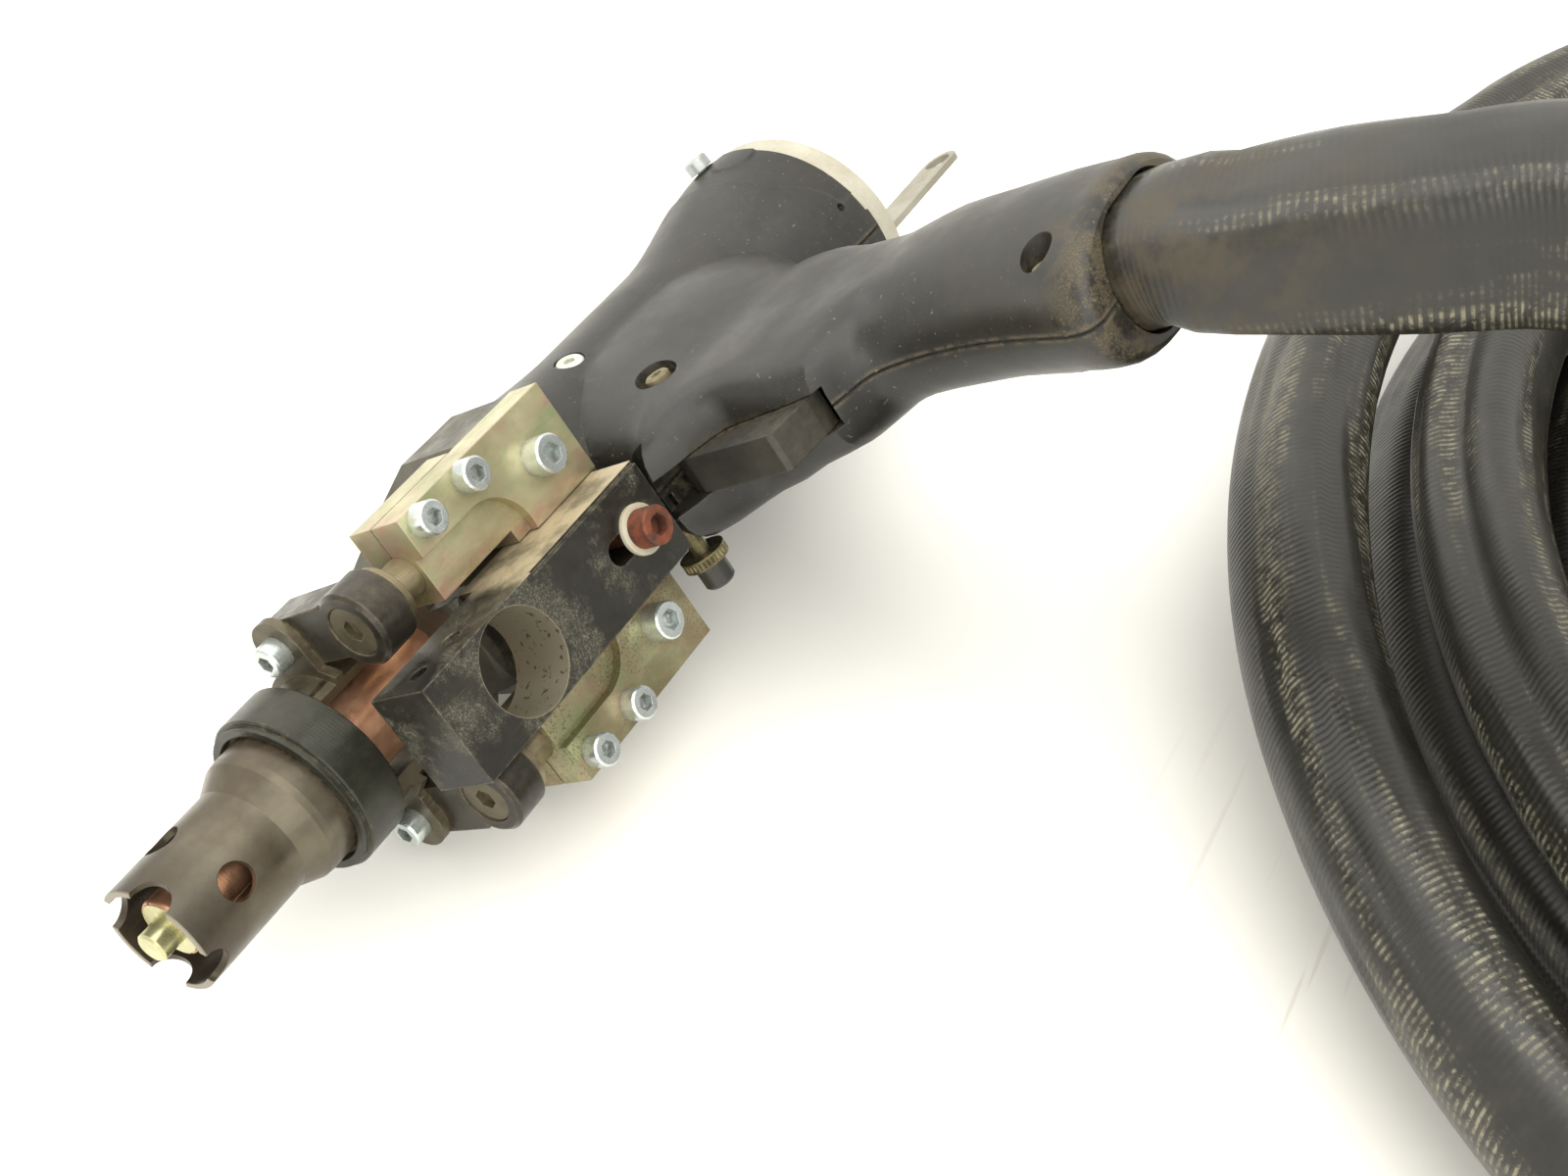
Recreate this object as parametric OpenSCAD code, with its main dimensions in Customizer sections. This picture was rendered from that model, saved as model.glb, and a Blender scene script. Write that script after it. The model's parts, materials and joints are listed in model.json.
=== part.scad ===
// Drawn-arc stud welding gun with an adjustable foot, lying on its side beside its cable-hose.
//
// The gun is modelled in its own frame and then rolled onto the table by place():
//   x runs rearwards along the barrel, 0 at the nozzle's front rim,
//   y points from the barrel axis towards the handle's open end,
//   z points to the side that lies underneath.
// Everything on the table, such as the hose, is given straight in the table's frame.

/* [Barrel and shells] */
// Rear end of the moulded shells
shell_end_x = 291; // [285:1:305]
// Front end of the moulded shells
shell_front_x = 150; // [149:1:156]
// Waist radius of the barrel
barrel_waist_r = 30.8; // [29:0.2:34]
// Radius of the barrel's flared rear rim
rear_rim_r = 38.2; // [37.6:0.2:46]
// Growth of the barrel's radius at its front end
front_swell = 2.4; // [0:0.2:4]
// Width of the seam between the two shells
seam_gap = 0.3; // [0.1:0.1:0.6]
// Depth of the recess that takes the rear cap
cap_recess = 9; // [6:1:12]

/* [Handle] */
// Centre of the handle's open end along the barrel
mouth_x = 203; // [200:1:205]
// Distance from the barrel axis to the handle's open end
handle_len = 173; // [168:1:186]
// Half the thickness of the handle across the seam, at the palm
palm_half = 19.6; // [18:0.2:24]
// Half the thickness of the lip round the handle's open end
lip_half = 19.4; // [18.4:0.2:25]
// Depth of the socket that the hose is set in
mouth_depth = 22; // [14:1:30]
// Half the width of that socket across the seam
mouth_half = 12.9; // [12:0.1:14]

/* [Trigger] */
// Width of the trigger
trigger_w = 10.4; // [9:0.2:14]
// Play between the trigger and each side of its slot
trigger_play = 0.4; // [0.3:0.1:0.8]
// Distance along the handle to the trigger's pivot
trigger_pivot_y = 53; // [51:0.5:55]
// Length of the trigger below its pivot
trigger_len = 38; // [32:1:39]
// How far the trigger stands out of the shells at its lower end
trigger_out = 14; // [9:0.5:16]
// Radius of the trigger's pivot pin
trigger_pin_r = 1.5; // [1:0.1:2]

/* [Housing block] */
// Radius of the round part of the block
block_r = 31; // [30:0.5:32]
// Front end of the block
block_front_x = 95; // [93:0.5:98]
// Height of the flat face that the clamps sit on
block_face_y = 27.2; // [26:0.2:28]
// Half the width across the block's two wings
wing_half = 38; // [36:0.5:39.5]
// Radius of the bore that the spindle runs in
spindle_bore_r = 14; // [13.8:0.1:16]

/* [Clamps] */
// Front end of the clamps
clamp_front_x = 90; // [88:0.5:91]
// Length of a clamp
clamp_len = 57.3; // [54:0.5:60]
// Inner side of a clamp, measured from the seam plane
clamp_inner = 13.7; // [13:0.1:14.5]
// Outer side of a clamp, measured from the seam plane
clamp_outer = 39.6; // [38.5:0.2:42]
// Thickness of the clamp's top plate
clamp_plate = 10.5; // [9.5:0.5:12]
// Length of the clamp's lower jaw
jaw_len = 31; // [28:0.5:31.5]
// Thickness of the clamp's lower jaw
jaw_thick = 8.4; // [7.5:0.2:8.6]
// Width of the slit between the jaws
jaw_slit = 0.6; // [0.4:0.1:1]

/* [Guide rods and foot] */
// Radius of a guide rod
rod_r = 5.3; // [4.5:0.1:5.6]
// Height of a rod's axis above the block's face
rod_rise = 0.6; // [-0.2:0.1:1.3]
// Distance of a rod's axis from the seam plane
rod_z = 25.8; // [25:0.2:27]
// Room behind the guide rods, for the foot's way back
rod_room = 4.8; // [4.6:0.1:9]
// Radial fit of the rods in the clamps
rod_fit = 0.05; // [0.02:0.01:0.1]
// Front face of the foot arms
arm_front_x = 69.2; // [68:0.2:71]
// Thickness of the foot arms
arm_thick = 10.3; // [8:0.2:10.6]
// Radius of the boss round a rod's end
arm_boss_r = 10.2; // [9:0.2:10.4]
// Wall of the collar round the nozzle's back
collar_wall = 4.4; // [3:0.2:5]
// Front face of the collar
collar_front_x = 44.9; // [43:0.2:46]
// Rear face of the collar
collar_rear_x = 59; // [57:0.2:61]

/* [Nozzle] */
// Outer radius of the nozzle's front tube
nozzle_r = 15.1; // [14:0.1:16]
// Wall of the nozzle
nozzle_wall = 1.7; // [1.2:0.1:2]
// Outer radius of the nozzle behind its flare
nozzle_back_r = 18.4; // [17.4:0.1:19]
// Radius of the four side holes
side_hole_r = 4.55; // [3.5:0.1:5]
// Depth of the four notches in the rim
notch_depth = 5.3; // [3:0.1:6]

/* [Spindle] */
// Outer radius of the copper collet
collet_r = 8; // [7.6:0.1:9]
// Radius of the welding stud
stud_r = 3.95; // [3:0.05:4.2]
// Radius of the stud's flange
stud_flange_r = 7.3; // [6:0.1:7.3]
// How far the stud stands out of the nozzle
stud_out = 2.4; // [0:0.2:5]
// Outer radius of the copper sleeve behind the collet
sleeve_r = 13.5; // [12.5:0.1:13.6]

/* [Bracket] */
// Front end of the bracket
bracket_front_x = 58.4; // [57:0.2:62]
// Length of the bracket
bracket_len = 86.9; // [84:0.2:88]
// Height of the bracket's top face above the barrel axis
bracket_top_y = 53.2; // [50:0.2:53.4]
// Radius of the bracket's cross bore
bracket_bore_r = 12.85; // [10:0.05:13]
// Distance of the bore from the bracket's front end
bracket_bore_dx = 26.1; // [22:0.1:27]
// Width of the bracket's slot
slot_w = 6.6; // [6.2:0.1:7.4]

/* [Rear end] */
// Step from the shells' rim down to the pale rear cap
cap_step = 1.8; // [1.4:0.2:4.2]
// Thickness of the rear cap outside the shells
cap_thick = 9; // [7:0.5:12]
// Length of the hanging strip behind the cap
lug_len = 65; // [50:1:75]
// Width of the hanging strip
lug_w = 12.4; // [11:0.2:14]

/* [Hose] */
// Diameter of the jacketed cable-hose
hose_d = 38; // [36:0.5:38]
// Radius of the coil's innermost turn, to the middle of the hose
coil_in_r = 195; // [195:1:200]
// Number of turns in the coil, with the half turn that changes layer
coil_turns = 4.5; // [4.5]
// Room between neighbouring turns
coil_room = 5.6; // [5.6:0.1:6.4]

/* [Hidden] */

$fn = 48;
nudge = 0.01;
past = 1;

// Pose of the gun on the table.
gun_roll = 143.56;
axis_h = rear_rim_r;
gun_shift = [-181.3, 55.6, axis_h];

// Cap-head screws: [shank radius, head radius, head height, socket width across flats]
m5 = [2.5, 4.25, 5, 4];
m6 = [3, 5, 6, 5];
screw_fit = 0.05;

// Barrel
flare_start_x = shell_end_x - 55;
cap_r = rear_rim_r - cap_step;

// Housing block and wings
wing_front_x = clamp_front_x + jaw_len + 0.8;
rod_end_x = wing_front_x - rod_room;
rod_y = block_face_y + rod_rise;
wing_chamfer = 6;
wing_low_y = -1;
block_nose_r = 6;
block_end_x = shell_front_x + 6;
jaw_room = 0.3;

// Clamp details
clamp_end_x = clamp_front_x + clamp_len;
clamp_top_y = block_face_y + clamp_plate;
jaw_top_y = block_face_y + 0.3;
gap_wide = 3.5;
pocket_r = 12.5;
pocket_depth = 3.2;
m5_z = clamp_outer - 4.1;
m5_front_x = clamp_front_x + 5.9;
m5_mid_x = clamp_front_x + 23.1;
m6_x = clamp_end_x - 13.4;
m6_z = 26.15;

// Foot details
collar_r = nozzle_back_r + collar_wall;
foot_screw_y = 1.8;
foot_screw_z = collar_r + 4.3;
flange_front_x = arm_front_x - 2.7;
neck_in_r = nozzle_back_r - 2.2;
neck_r = neck_in_r + 3.4;
neck_end_x = 84;
window_half = 50;
ear_r = 8;
arm_low_y = -6;
arm_inner_z = neck_r + 0.2;
arm_outer_z = rod_z + arm_boss_r;
arm_toe_z = arm_outer_z - 2.6;
arm_rear_x = arm_front_x + arm_thick;
flange_thick = 2.8;
rod_flange_r = 8.6;
cone_head_r = 6.8;
cone_head_h = 4;
rod_screw_len = 16;

// Nozzle and spindle
flare_from_x = 31.6;
flare_to_x = 37.6;
nozzle_end_x = collar_front_x + 7.1;
side_hole_x = 16;
side_hole_angle = 5;
notch_r = 5;
collet_front_x = 3.8;
collet_end_x = 46;
collet_slit_angle = 30;
sleeve_end_x = 124;
sleeve_wall = 2;
sleeve_fit = 0.05;
spindle_r = 5;

// Hanging strip: its middle, thickness and eye
lug_y = 17;
lug_z = 10;
lug_thick = 2;
lug_eye_r = 4.4;

// Bracket
bracket_half = clamp_inner - 0.3;
bracket_end_x = bracket_front_x + bracket_len;
bracket_step_x = clamp_front_x + 8.4;
bracket_low_y = 33.4;
bracket_bore_x = bracket_front_x + bracket_bore_dx;
bracket_screw_x = bracket_end_x - 11;
slot_front_x = bracket_screw_x - 9.3;
slot_back_x = bracket_screw_x + 3.2;
washer_thick = 1.2;

// Adjusting nut on the lower side
adjust_x = shell_front_x + 3.4;
adjust_y = 45.5;
adjust_z = 19.8;
adjust_nut_r = 6.4;
adjust_nut_h = 3;
adjust_knob_r = 4.3;
adjust_knob_h = 7;

// Trigger slot
slot_half = trigger_w / 2 + trigger_play;
trigger_face_x = 154;
trigger_top_y = trigger_pivot_y - 4;
trigger_low_y = trigger_pivot_y + trigger_len;
slot_low_y = trigger_low_y + 3;
slot_deep_x = 184;
trigger_pivot_x = 165;

// Wider opening at the handle's end, where the hose spreads
rim_depth = 7;
rim_y = handle_len - rim_depth;
rim_half = lip_half - 3.8;
rim_flat = 6.8;
mouth_flat = 3.9;

// Stations of the handle, from the barrel outwards: [y, front x, back x, half thickness, squareness].
// Those below the trigger stretch with the handle, and the uppermost reach back as far as the barrel lets them.
chin_y = 53.6;
ledge_y = 92.5;
grip_stretch = (handle_len - ledge_y) / 80.5;
root_back_x = min(262, shell_end_x - 29);
grip_stations = [
    [8, 150, root_back_x, 28, 2.7],
    [30, 150, min(258, root_back_x), 26, 2.7],
    [44, 150, min(247, root_back_x), 22.4, 3],
    [chin_y, 146, 240, 19.4, 4],
    [60, 157, 237, 18.8, 6],
    [66, 164.6, 236, 18.5, 7],
    [73, 165.8, 236, 18.2, 6],
    [80, 166.8, 236.5, 17.2, 4.5],
    [ledge_y, 169, 238, 16.8, 3.4],
    [ledge_y + 5.5 * grip_stretch, 180, 239.5, 16.9, 2.7],
    [ledge_y + 11.5 * grip_stretch, 183.8, 240.5, palm_half - 1.8, 2.3],
    [ledge_y + 25.5 * grip_stretch, 184, 241, palm_half - 0.2, 2.2],
    [ledge_y + 42.5 * grip_stretch, 180.8, 238.5, palm_half, 2.2],
    [ledge_y + 58.5 * grip_stretch, 175.2, 236.5, palm_half + 0.4, 2.2],
    [handle_len - 9, 170.2, 235, lip_half, 2.2],
    [handle_len - 4, 169.4, 234.4, lip_half, 2.2],
    [handle_len - 1.4, 170.4, 233, lip_half - 0.8, 2.2],
    [handle_len, 173, 230.6, lip_half - 2.2, 2.2]
];
grip_sides = 36;

// Screw pockets in the side of the shells: [x, y, radius, depth from the seam plane]
shell_pockets = [[175, 45, 5.8, 18], [184, handle_len - 14.4, 4.6, 9]];
barrel_screw_x = 184.4;
barrel_screw_angle = 72;

// Hose: places on the table, in the table's frame
hose_r = hose_d / 2;
coil_centre = [154, -395];
coil_pitch = hose_d + coil_room;
coil_start_angle = 50;
coil_rings = 24;
coil_sides = 6;
layer_low_z = hose_r + 0.3;
layer_step = hose_d + 1.2;
climb_from = coil_turns / 2 - 0.25;
climb_to = coil_turns / 2 + 0.25;

// Route of the hose between the handle and the coil, chosen by hand.
lead_points = [
    [20, -100, 149.5], [21, -121, 158.5], [23, -143, 166.5], [26, -164, 173.5], [22, -196, 181],
    [8, -228, 185], [-14, -266, 183], [-31, -313, 177], [-36, -368, 168], [-29, -427, 156],
    [-4, -487, 141], [37, -534, 125], [92, -566, 109], [154, -579, 95], [218, -571, 82], [276, -541, 72],
    [315, -488, 64.5], [340, -429, 60], [345, -370, 58.6], [332, -313, 58.5]
];
lead_squeeze = [
    [mouth_flat + mouth_half - 0.6, mouth_half - 0.5], [mouth_flat + mouth_half - 0.6, mouth_half - 0.5],
    [rim_flat + rim_half - 0.4, rim_half - 0.4], [rim_flat + rim_half - 0.3, rim_half - 0.3],
    [hose_r + 2.6, hose_r - 2.8], [hose_r + 1.4, hose_r - 1]
];

// Route of the hose's far stretch inside the coil, and of the two cables that leave its boot.
tail_points = [[102, -581, 19.3], [148, -578, 19.3], [189, -562, 19.3]];
weld_points = [[292, -495, 14], [303, -468, 10.5], [300, -438, 10], [285, -415, 13], [262, -401, 15.3]];
control_points = [[278, -484, 12], [279, -464, 7], [271, -448, 6], [255, -439, 8], [236, -436, 11.3]];
boot_len = 60;
weld_cable_r = 8;
control_cable_r = 4.5;
weld_plug_r = 15;
control_plug_r = 11;

shell_tone = [0.24, 0.24, 0.24];
zinc_tone = [0.74, 0.74, 0.7];
yellow_zinc_tone = [0.76, 0.72, 0.52];
copper_tone = [0.78, 0.5, 0.36];
dark_steel_tone = [0.3, 0.28, 0.26];
hose_tone = [0.13, 0.13, 0.13];

// ---------------------------------------------------------------- helpers

// The gun rolled onto the table.
module place() {
    translate(gun_shift) rotate([gun_roll, 0, 0]) children();
}

// A point of the gun's frame, in the table's frame.
function on_table(p) = [
    gun_shift[0] + p[0],
    gun_shift[1] + p[1] * cos(gun_roll) - p[2] * sin(gun_roll),
    gun_shift[2] + p[1] * sin(gun_roll) + p[2] * cos(gun_roll)
];

// A direction of the gun's y axis, in the table's frame.
handle_dir = [0, cos(gun_roll), sin(gun_roll)];

// A body turned about the barrel axis, from [x, radius] points.
module turned(points) {
    rotate([90, 0, 90]) rotate_extrude() polygon([for (p = points) [p[1], p[0]]]);
}

// Turns its children about the barrel axis, from +y towards the upper side.
module around(angle) {
    rotate([-angle, 0, 0]) children();
}

// A cylinder along +y, standing at [x, y, z].
module peg(at, r, h, r2 = -1) {
    translate(at) rotate([-90, 0, 0]) cylinder(r1 = r, r2 = r2 < 0 ? r : r2, h = h);
}

// A cylinder along +x, standing at [x, y, z].
module rod(at, r, h, r2 = -1) {
    translate(at) rotate([0, 90, 0]) cylinder(r1 = r, r2 = r2 < 0 ? r : r2, h = h);
}

// A box from corner to corner.
module block(from, to) {
    translate(from) cube(to - from);
}

// Copies its children to both sides of the seam plane.
module both_sides() {
    children();
    mirror([0, 0, 1]) children();
}

// A cap-head screw along -z, its head standing on z = 0.
module cap_screw(size, len) {
    edge = 0.5;
    difference() {
        union() {
            cylinder(r = size[1], h = size[2] - edge);
            translate([0, 0, size[2] - edge]) cylinder(r1 = size[1], r2 = size[1] - edge, h = edge);
            translate([0, 0, -len]) cylinder(r = size[0], h = len + nudge);
        }
        translate([0, 0, size[2] * 0.45]) cylinder(d = size[3] / cos(30), h = size[2], $fn = 6);
    }
}

// A cap-head screw along -y, its head standing at [x, y, z].
module cap_screw_down(at, size, len) {
    translate(at) rotate([-90, 0, 0]) cap_screw(size, len);
}

// Smooth step from 0 to 1.
function ease(t) = let (c = min(1, max(0, t))) c * c * (3 - 2 * c);

function unit(v) = v / norm(v);

// One point of a Catmull-Rom curve between b and c.
function curve_at(a, b, c, d, t) =
    0.5 * (2 * b + (c - a) * t + (2 * a - 5 * b + 4 * c - d) * t * t + (3 * b - a - 3 * c + d) * t * t * t);

// The curve through all points, with the given number of steps between each two.
function curve_through(p, steps) = [
    for (i = [0 : len(p) - 2], s = [0 : steps - 1])
        let (a = p[max(0, i - 1)], d = p[min(len(p) - 1, i + 2)])
            curve_at(a, p[i], p[i + 1], d, s / steps),
    p[len(p) - 1]
];

// A closed tube swept along a path, its two ends square to the given directions.
// Its first rings may be flattened to the given [half width, half height].
module tube(path, r, sides, start_dir, end_dir, flat = []) {
    last = len(path) - 1;
    up = [0, 0, 1];
    dirs = [for (i = [0 : last]) i == 0 ? unit(start_dir) : i == last ? unit(end_dir)
            : unit(path[i + 1] - path[i - 1])];
    points = [
        for (i = [0 : last])
            let (side = unit(cross(dirs[i], up)), over = cross(side, dirs[i]))
                for (k = [0 : sides - 1])
                    let (a = 360 * (k + 0.5) / sides, half = i < len(flat) ? flat[i] : [r, r])
                        path[i] + half[0] * cos(a) * side + half[1] * sin(a) * over
    ];
    walls = [
        for (i = [0 : last - 1], k = [0 : sides - 1])
            let (a = i * sides + k, b = i * sides + (k + 1) % sides)
                each [[a, b, a + sides], [b, b + sides, a + sides]]
    ];
    start_cap = [for (k = [1 : sides - 2]) [0, k + 1, k]];
    end_cap = [for (k = [1 : sides - 2]) [last * sides, last * sides + k, last * sides + k + 1]];
    polyhedron(points, concat(walls, start_cap, end_cap), convexity = 10);
}

// ---------------------------------------------------------------- moulded shells

// Radius of the barrel at a place along it.
function barrel_r(x) =
    barrel_waist_r
    + (rear_rim_r - barrel_waist_r) * ease((x - flare_start_x) / (shell_end_x - 2 - flare_start_x))
    + front_swell * ease((shell_front_x + 42 - x) / 42);

module barrel_solid() {
    steps = 22;
    edge = 1.2;
    run = shell_end_x - edge - shell_front_x;
    turned(concat(
        [[shell_front_x, 0]],
        [for (i = [0 : steps]) let (x = shell_front_x + run * i / steps) [x, barrel_r(x)]],
        [[shell_end_x, rear_rim_r - edge], [shell_end_x, 0]]
    ));
}

// One outline point of the handle, a rounded oblong about its middle.
function grip_point(s, a) =
    let (mid = (s[1] + s[2]) / 2, half = (s[2] - s[1]) / 2, c = cos(a), n = sin(a))
        [
            mid + half * sign(c) * pow(abs(c), 2 / s[4]),
            s[0],
            s[3] * sign(n) * pow(abs(n), 2 / s[4])
        ];

module grip_solid() {
    rows = curve_through(grip_stations, 2);
    last = len(rows) - 1;
    n = grip_sides;
    points = [for (s = rows, k = [0 : n - 1]) grip_point(s, 360 * (k + 0.5) / n)];
    walls = [
        for (i = [0 : last - 1], k = [0 : n - 1])
            let (a = i * n + k, b = i * n + (k + 1) % n) each [[a, b, a + n], [b, b + n, a + n]]
    ];
    base = [for (k = [1 : n - 2]) [0, k + 1, k]];
    top = [for (k = [1 : n - 2]) [last * n, last * n + k, last * n + k + 1]];
    polyhedron(points, concat(walls, base, top), convexity = 6);
}

module shell_cuts() {
    floor_y = handle_len - mouth_depth;
    for (x = [-mouth_flat, mouth_flat]) peg([mouth_x + x, floor_y, 0], mouth_half, mouth_depth + past);
    block([mouth_x - mouth_flat, floor_y, -mouth_half], [mouth_x + mouth_flat, handle_len + past, mouth_half]);
    for (x = [-rim_flat, rim_flat]) peg([mouth_x + x, rim_y, 0], rim_half, rim_depth + past);
    block([mouth_x - rim_flat, rim_y, -rim_half], [mouth_x + rim_flat, handle_len + past, rim_half]);
    block([shell_front_x - 20, trigger_top_y - 1, -slot_half], [slot_deep_x, slot_low_y, slot_half]);
    rod([shell_end_x - cap_recess, 0, 0], cap_r - 0.8, cap_recess + past);
    rod([shell_front_x - past, 0, 0], block_r - 3 + 0.3, past + 6.3);
    block([shell_front_x - 20, 0, -bracket_half - 1], [shell_front_x + 0.6, chin_y - 0.2, bracket_half + 1]);
    translate([trigger_pivot_x, trigger_pivot_y, -12]) cylinder(r = trigger_pin_r, h = 24);
    for (p = shell_pockets) both_sides() {
        translate([p[0], p[1], p[3]]) cylinder(r = p[2], h = rear_rim_r);
        translate([p[0], p[1], p[3] - 8]) cylinder(r = 2, h = 8 + past);
    }
}

module shell_solid() {
    difference() {
        union() {
            barrel_solid();
            grip_solid();
        }
        shell_cuts();
    }
}

// Hole and flat spot for one of the screws that hold the rear cap.
module cap_screw_seat() {
    peg([shell_end_x - 5, rear_rim_r - 8, 0], 1.9, 10);
    peg([shell_end_x - 5, rear_rim_r - 0.2, 0], 4.4, 4);
}

module shell_upper() {
    color(shell_tone) place() difference() {
        shell_solid();
        block([0, -60, -seam_gap / 2], [shell_end_x + 10, handle_len + 10, 60]);
        around(barrel_screw_angle) {
            peg([barrel_screw_x, barrel_waist_r - 1.6, 0], 4.4, 6);
            peg([barrel_screw_x, barrel_waist_r - 10, 0], 2.2, 10);
        }
        around(18) peg([shell_end_x - 9, rear_rim_r - 9, 0], 1.3, 12);
        around(14) block([shell_end_x - 2.4, rear_rim_r - 4, -3.4], [shell_end_x + past, rear_rim_r + 2, 3.4]);
        around(100) cap_screw_seat();
    }
}

module shell_lower() {
    color(shell_tone) place() difference() {
        shell_solid();
        block([0, -60, -60], [shell_end_x + 10, handle_len + 10, seam_gap / 2]);
        translate([adjust_x, adjust_y, 2]) cylinder(r = 2.55, h = 30);
        around(280) cap_screw_seat();
    }
}

// ---------------------------------------------------------------- housing block and clamps

module housing_block() {
    nose = [for (i = [0 : 6]) let (a = 90 * i / 6)
            [block_front_x + block_nose_r * (1 - sin(a)), block_r - block_nose_r * (1 - cos(a))]];
    reach = block_end_x - wing_front_x - 4;
    color([0.36, 0.35, 0.33]) place() difference() {
        union() {
            turned(concat([[block_front_x, 0]], [for (i = [6 : -1 : 0]) nose[i]],
                [[shell_front_x, block_r], [shell_front_x, block_r - 3], [block_end_x, block_r - 3],
                 [block_end_x, 0]]));
            translate([wing_front_x, 0, 0]) rotate([90, 0, 90]) linear_extrude(shell_front_x - 0.4 - wing_front_x)
                polygon([[block_face_y, wing_half], [wing_low_y, wing_half], [wing_low_y - 11, wing_half - 8],
                         [wing_low_y - 11, 8 - wing_half], [wing_low_y, -wing_half],
                         [block_face_y, -wing_half]]);
        }
        block([block_front_x - past, block_face_y, -50], [block_end_x + past, 60, 50]);
        both_sides() block([block_front_x - past, jaw_top_y - jaw_slit - jaw_thick - jaw_room, bracket_half - jaw_room],
                           [wing_front_x - jaw_room, 60, 50]);
        both_sides() translate([wing_front_x, 0, wing_half - wing_chamfer]) rotate([0, -45, 0])
            translate([-30, -30, 0]) cube([60, 80, 30]);
        both_sides() peg([m6_x, 0, m6_z], m6[0] + screw_fit, 40);
        peg([bracket_screw_x, 0, 0], m6[0] + screw_fit, 40);
        rod([block_front_x - past, 0, 0], spindle_bore_r, reach + 30);
    }
}

// One clamp, on the side where z is positive.
module clamp_body() {
    jaw_low_y = jaw_top_y - jaw_slit - jaw_thick;
    jaw_end_x = clamp_front_x + jaw_len;
    difference() {
        union() {
            block([clamp_front_x, block_face_y, clamp_inner], [clamp_end_x, clamp_top_y, clamp_outer]);
            block([clamp_front_x, jaw_low_y, clamp_inner], [jaw_end_x, jaw_top_y, clamp_outer]);
        }
        rod([clamp_front_x - past, rod_y, rod_z], rod_r + rod_fit, jaw_len + 4);
        block([clamp_front_x - past, jaw_top_y - jaw_slit, rod_z], [jaw_end_x + past, jaw_top_y, clamp_outer + past]);
        block([clamp_front_x - past, 0, clamp_inner - past],
              [clamp_front_x + 27, clamp_top_y + past, clamp_inner + gap_wide]);
        block([clamp_front_x - past, clamp_top_y - pocket_depth, clamp_inner - past],
              [clamp_front_x + 19.5, clamp_top_y + past, clamp_inner + gap_wide + pocket_r - 0.7]);
        peg([clamp_front_x + 19.5, clamp_top_y - pocket_depth, clamp_inner + 2.8], pocket_r, pocket_depth + past);
        for (x = [m5_front_x, m5_mid_x]) peg([x, 0, m5_z], m5[0] + screw_fit, 60);
        peg([m6_x, 0, m6_z], m6[0] + screw_fit, 60);
    }
}

module clamp_left() {
    color(yellow_zinc_tone) place() mirror([0, 0, 1]) clamp_body();
}

module clamp_right() {
    color(yellow_zinc_tone) place() clamp_body();
}

module clamp_screws_m6() {
    color(zinc_tone) place() both_sides() cap_screw_down([m6_x, clamp_top_y, m6_z], m6, 22);
}

module clamp_screws_m5() {
    color(zinc_tone) place() both_sides() for (x = [m5_front_x, m5_mid_x])
        cap_screw_down([x, clamp_top_y, m5_z], m5, 18);
}

// ---------------------------------------------------------------- bracket

module bracket() {
    low_y = block_face_y + 0.3;
    color([0.2, 0.2, 0.2]) place() difference() {
        union() {
            block([bracket_front_x, bracket_low_y, -bracket_half], [bracket_end_x, bracket_top_y, bracket_half]);
            block([bracket_step_x, low_y, -bracket_half], [bracket_end_x, bracket_low_y + past, bracket_half]);
        }
        peg([bracket_bore_x, 0, 0], bracket_bore_r, 80);
        peg([slot_front_x, 0, 0], slot_w / 2, 80);
        peg([slot_back_x, 0, 0], slot_w / 2, 80);
        block([slot_front_x, 0, -slot_w / 2], [slot_back_x, 80, slot_w / 2]);
        for (dx = [7.9, 20.2]) translate([bracket_front_x + dx, bracket_top_y - 9.4, -bracket_half - past])
            cylinder(r = 2.5, h = bracket_half);
        block([bracket_step_x + 2, bracket_top_y - 1.2, -bracket_half - past],
              [bracket_end_x + past, bracket_top_y + past, -bracket_half + 1]);
    }
}

module bracket_screw() {
    color([0.55, 0.3, 0.2]) place()
        cap_screw_down([bracket_screw_x, bracket_top_y + washer_thick, 0], m6, 42);
}

module bracket_washer() {
    color([0.85, 0.85, 0.8]) place() difference() {
        peg([bracket_screw_x, bracket_top_y, 0], 6.5, washer_thick);
        peg([bracket_screw_x, bracket_top_y - past, 0], m6[0] + screw_fit, washer_thick + 2 * past);
    }
}

// ---------------------------------------------------------------- guide rods and foot

module guide_rod() {
    difference() {
        rod([arm_rear_x, rod_y, rod_z], rod_r, rod_end_x - arm_rear_x);
        rod([arm_rear_x - past, rod_y, rod_z], m6[0] + screw_fit, rod_screw_len);
    }
}

module rod_left() {
    color([0.6, 0.57, 0.5]) place() mirror([0, 0, 1]) guide_rod();
}

module rod_right() {
    color([0.6, 0.57, 0.5]) place() guide_rod();
}

module rod_flanges() {
    color([0.68, 0.67, 0.63]) place() both_sides() difference() {
        rod([arm_rear_x, rod_y, rod_z], rod_flange_r, flange_thick);
        rod([arm_rear_x - past, rod_y, rod_z], rod_r + 0.04, flange_thick + 2 * past);
    }
}

module rod_screws() {
    color([0.45, 0.42, 0.38]) place() both_sides() difference() {
        union() {
            rod([arm_front_x + 0.4, rod_y, rod_z], cone_head_r - 0.1, cone_head_h, m6[0]);
            rod([arm_front_x + 0.4, rod_y, rod_z], m6[0], arm_thick + rod_screw_len - 3);
        }
        rod([arm_front_x, rod_y, rod_z], 2.5 / cos(30), 2.6, $fn = 6);
    }
}

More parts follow.
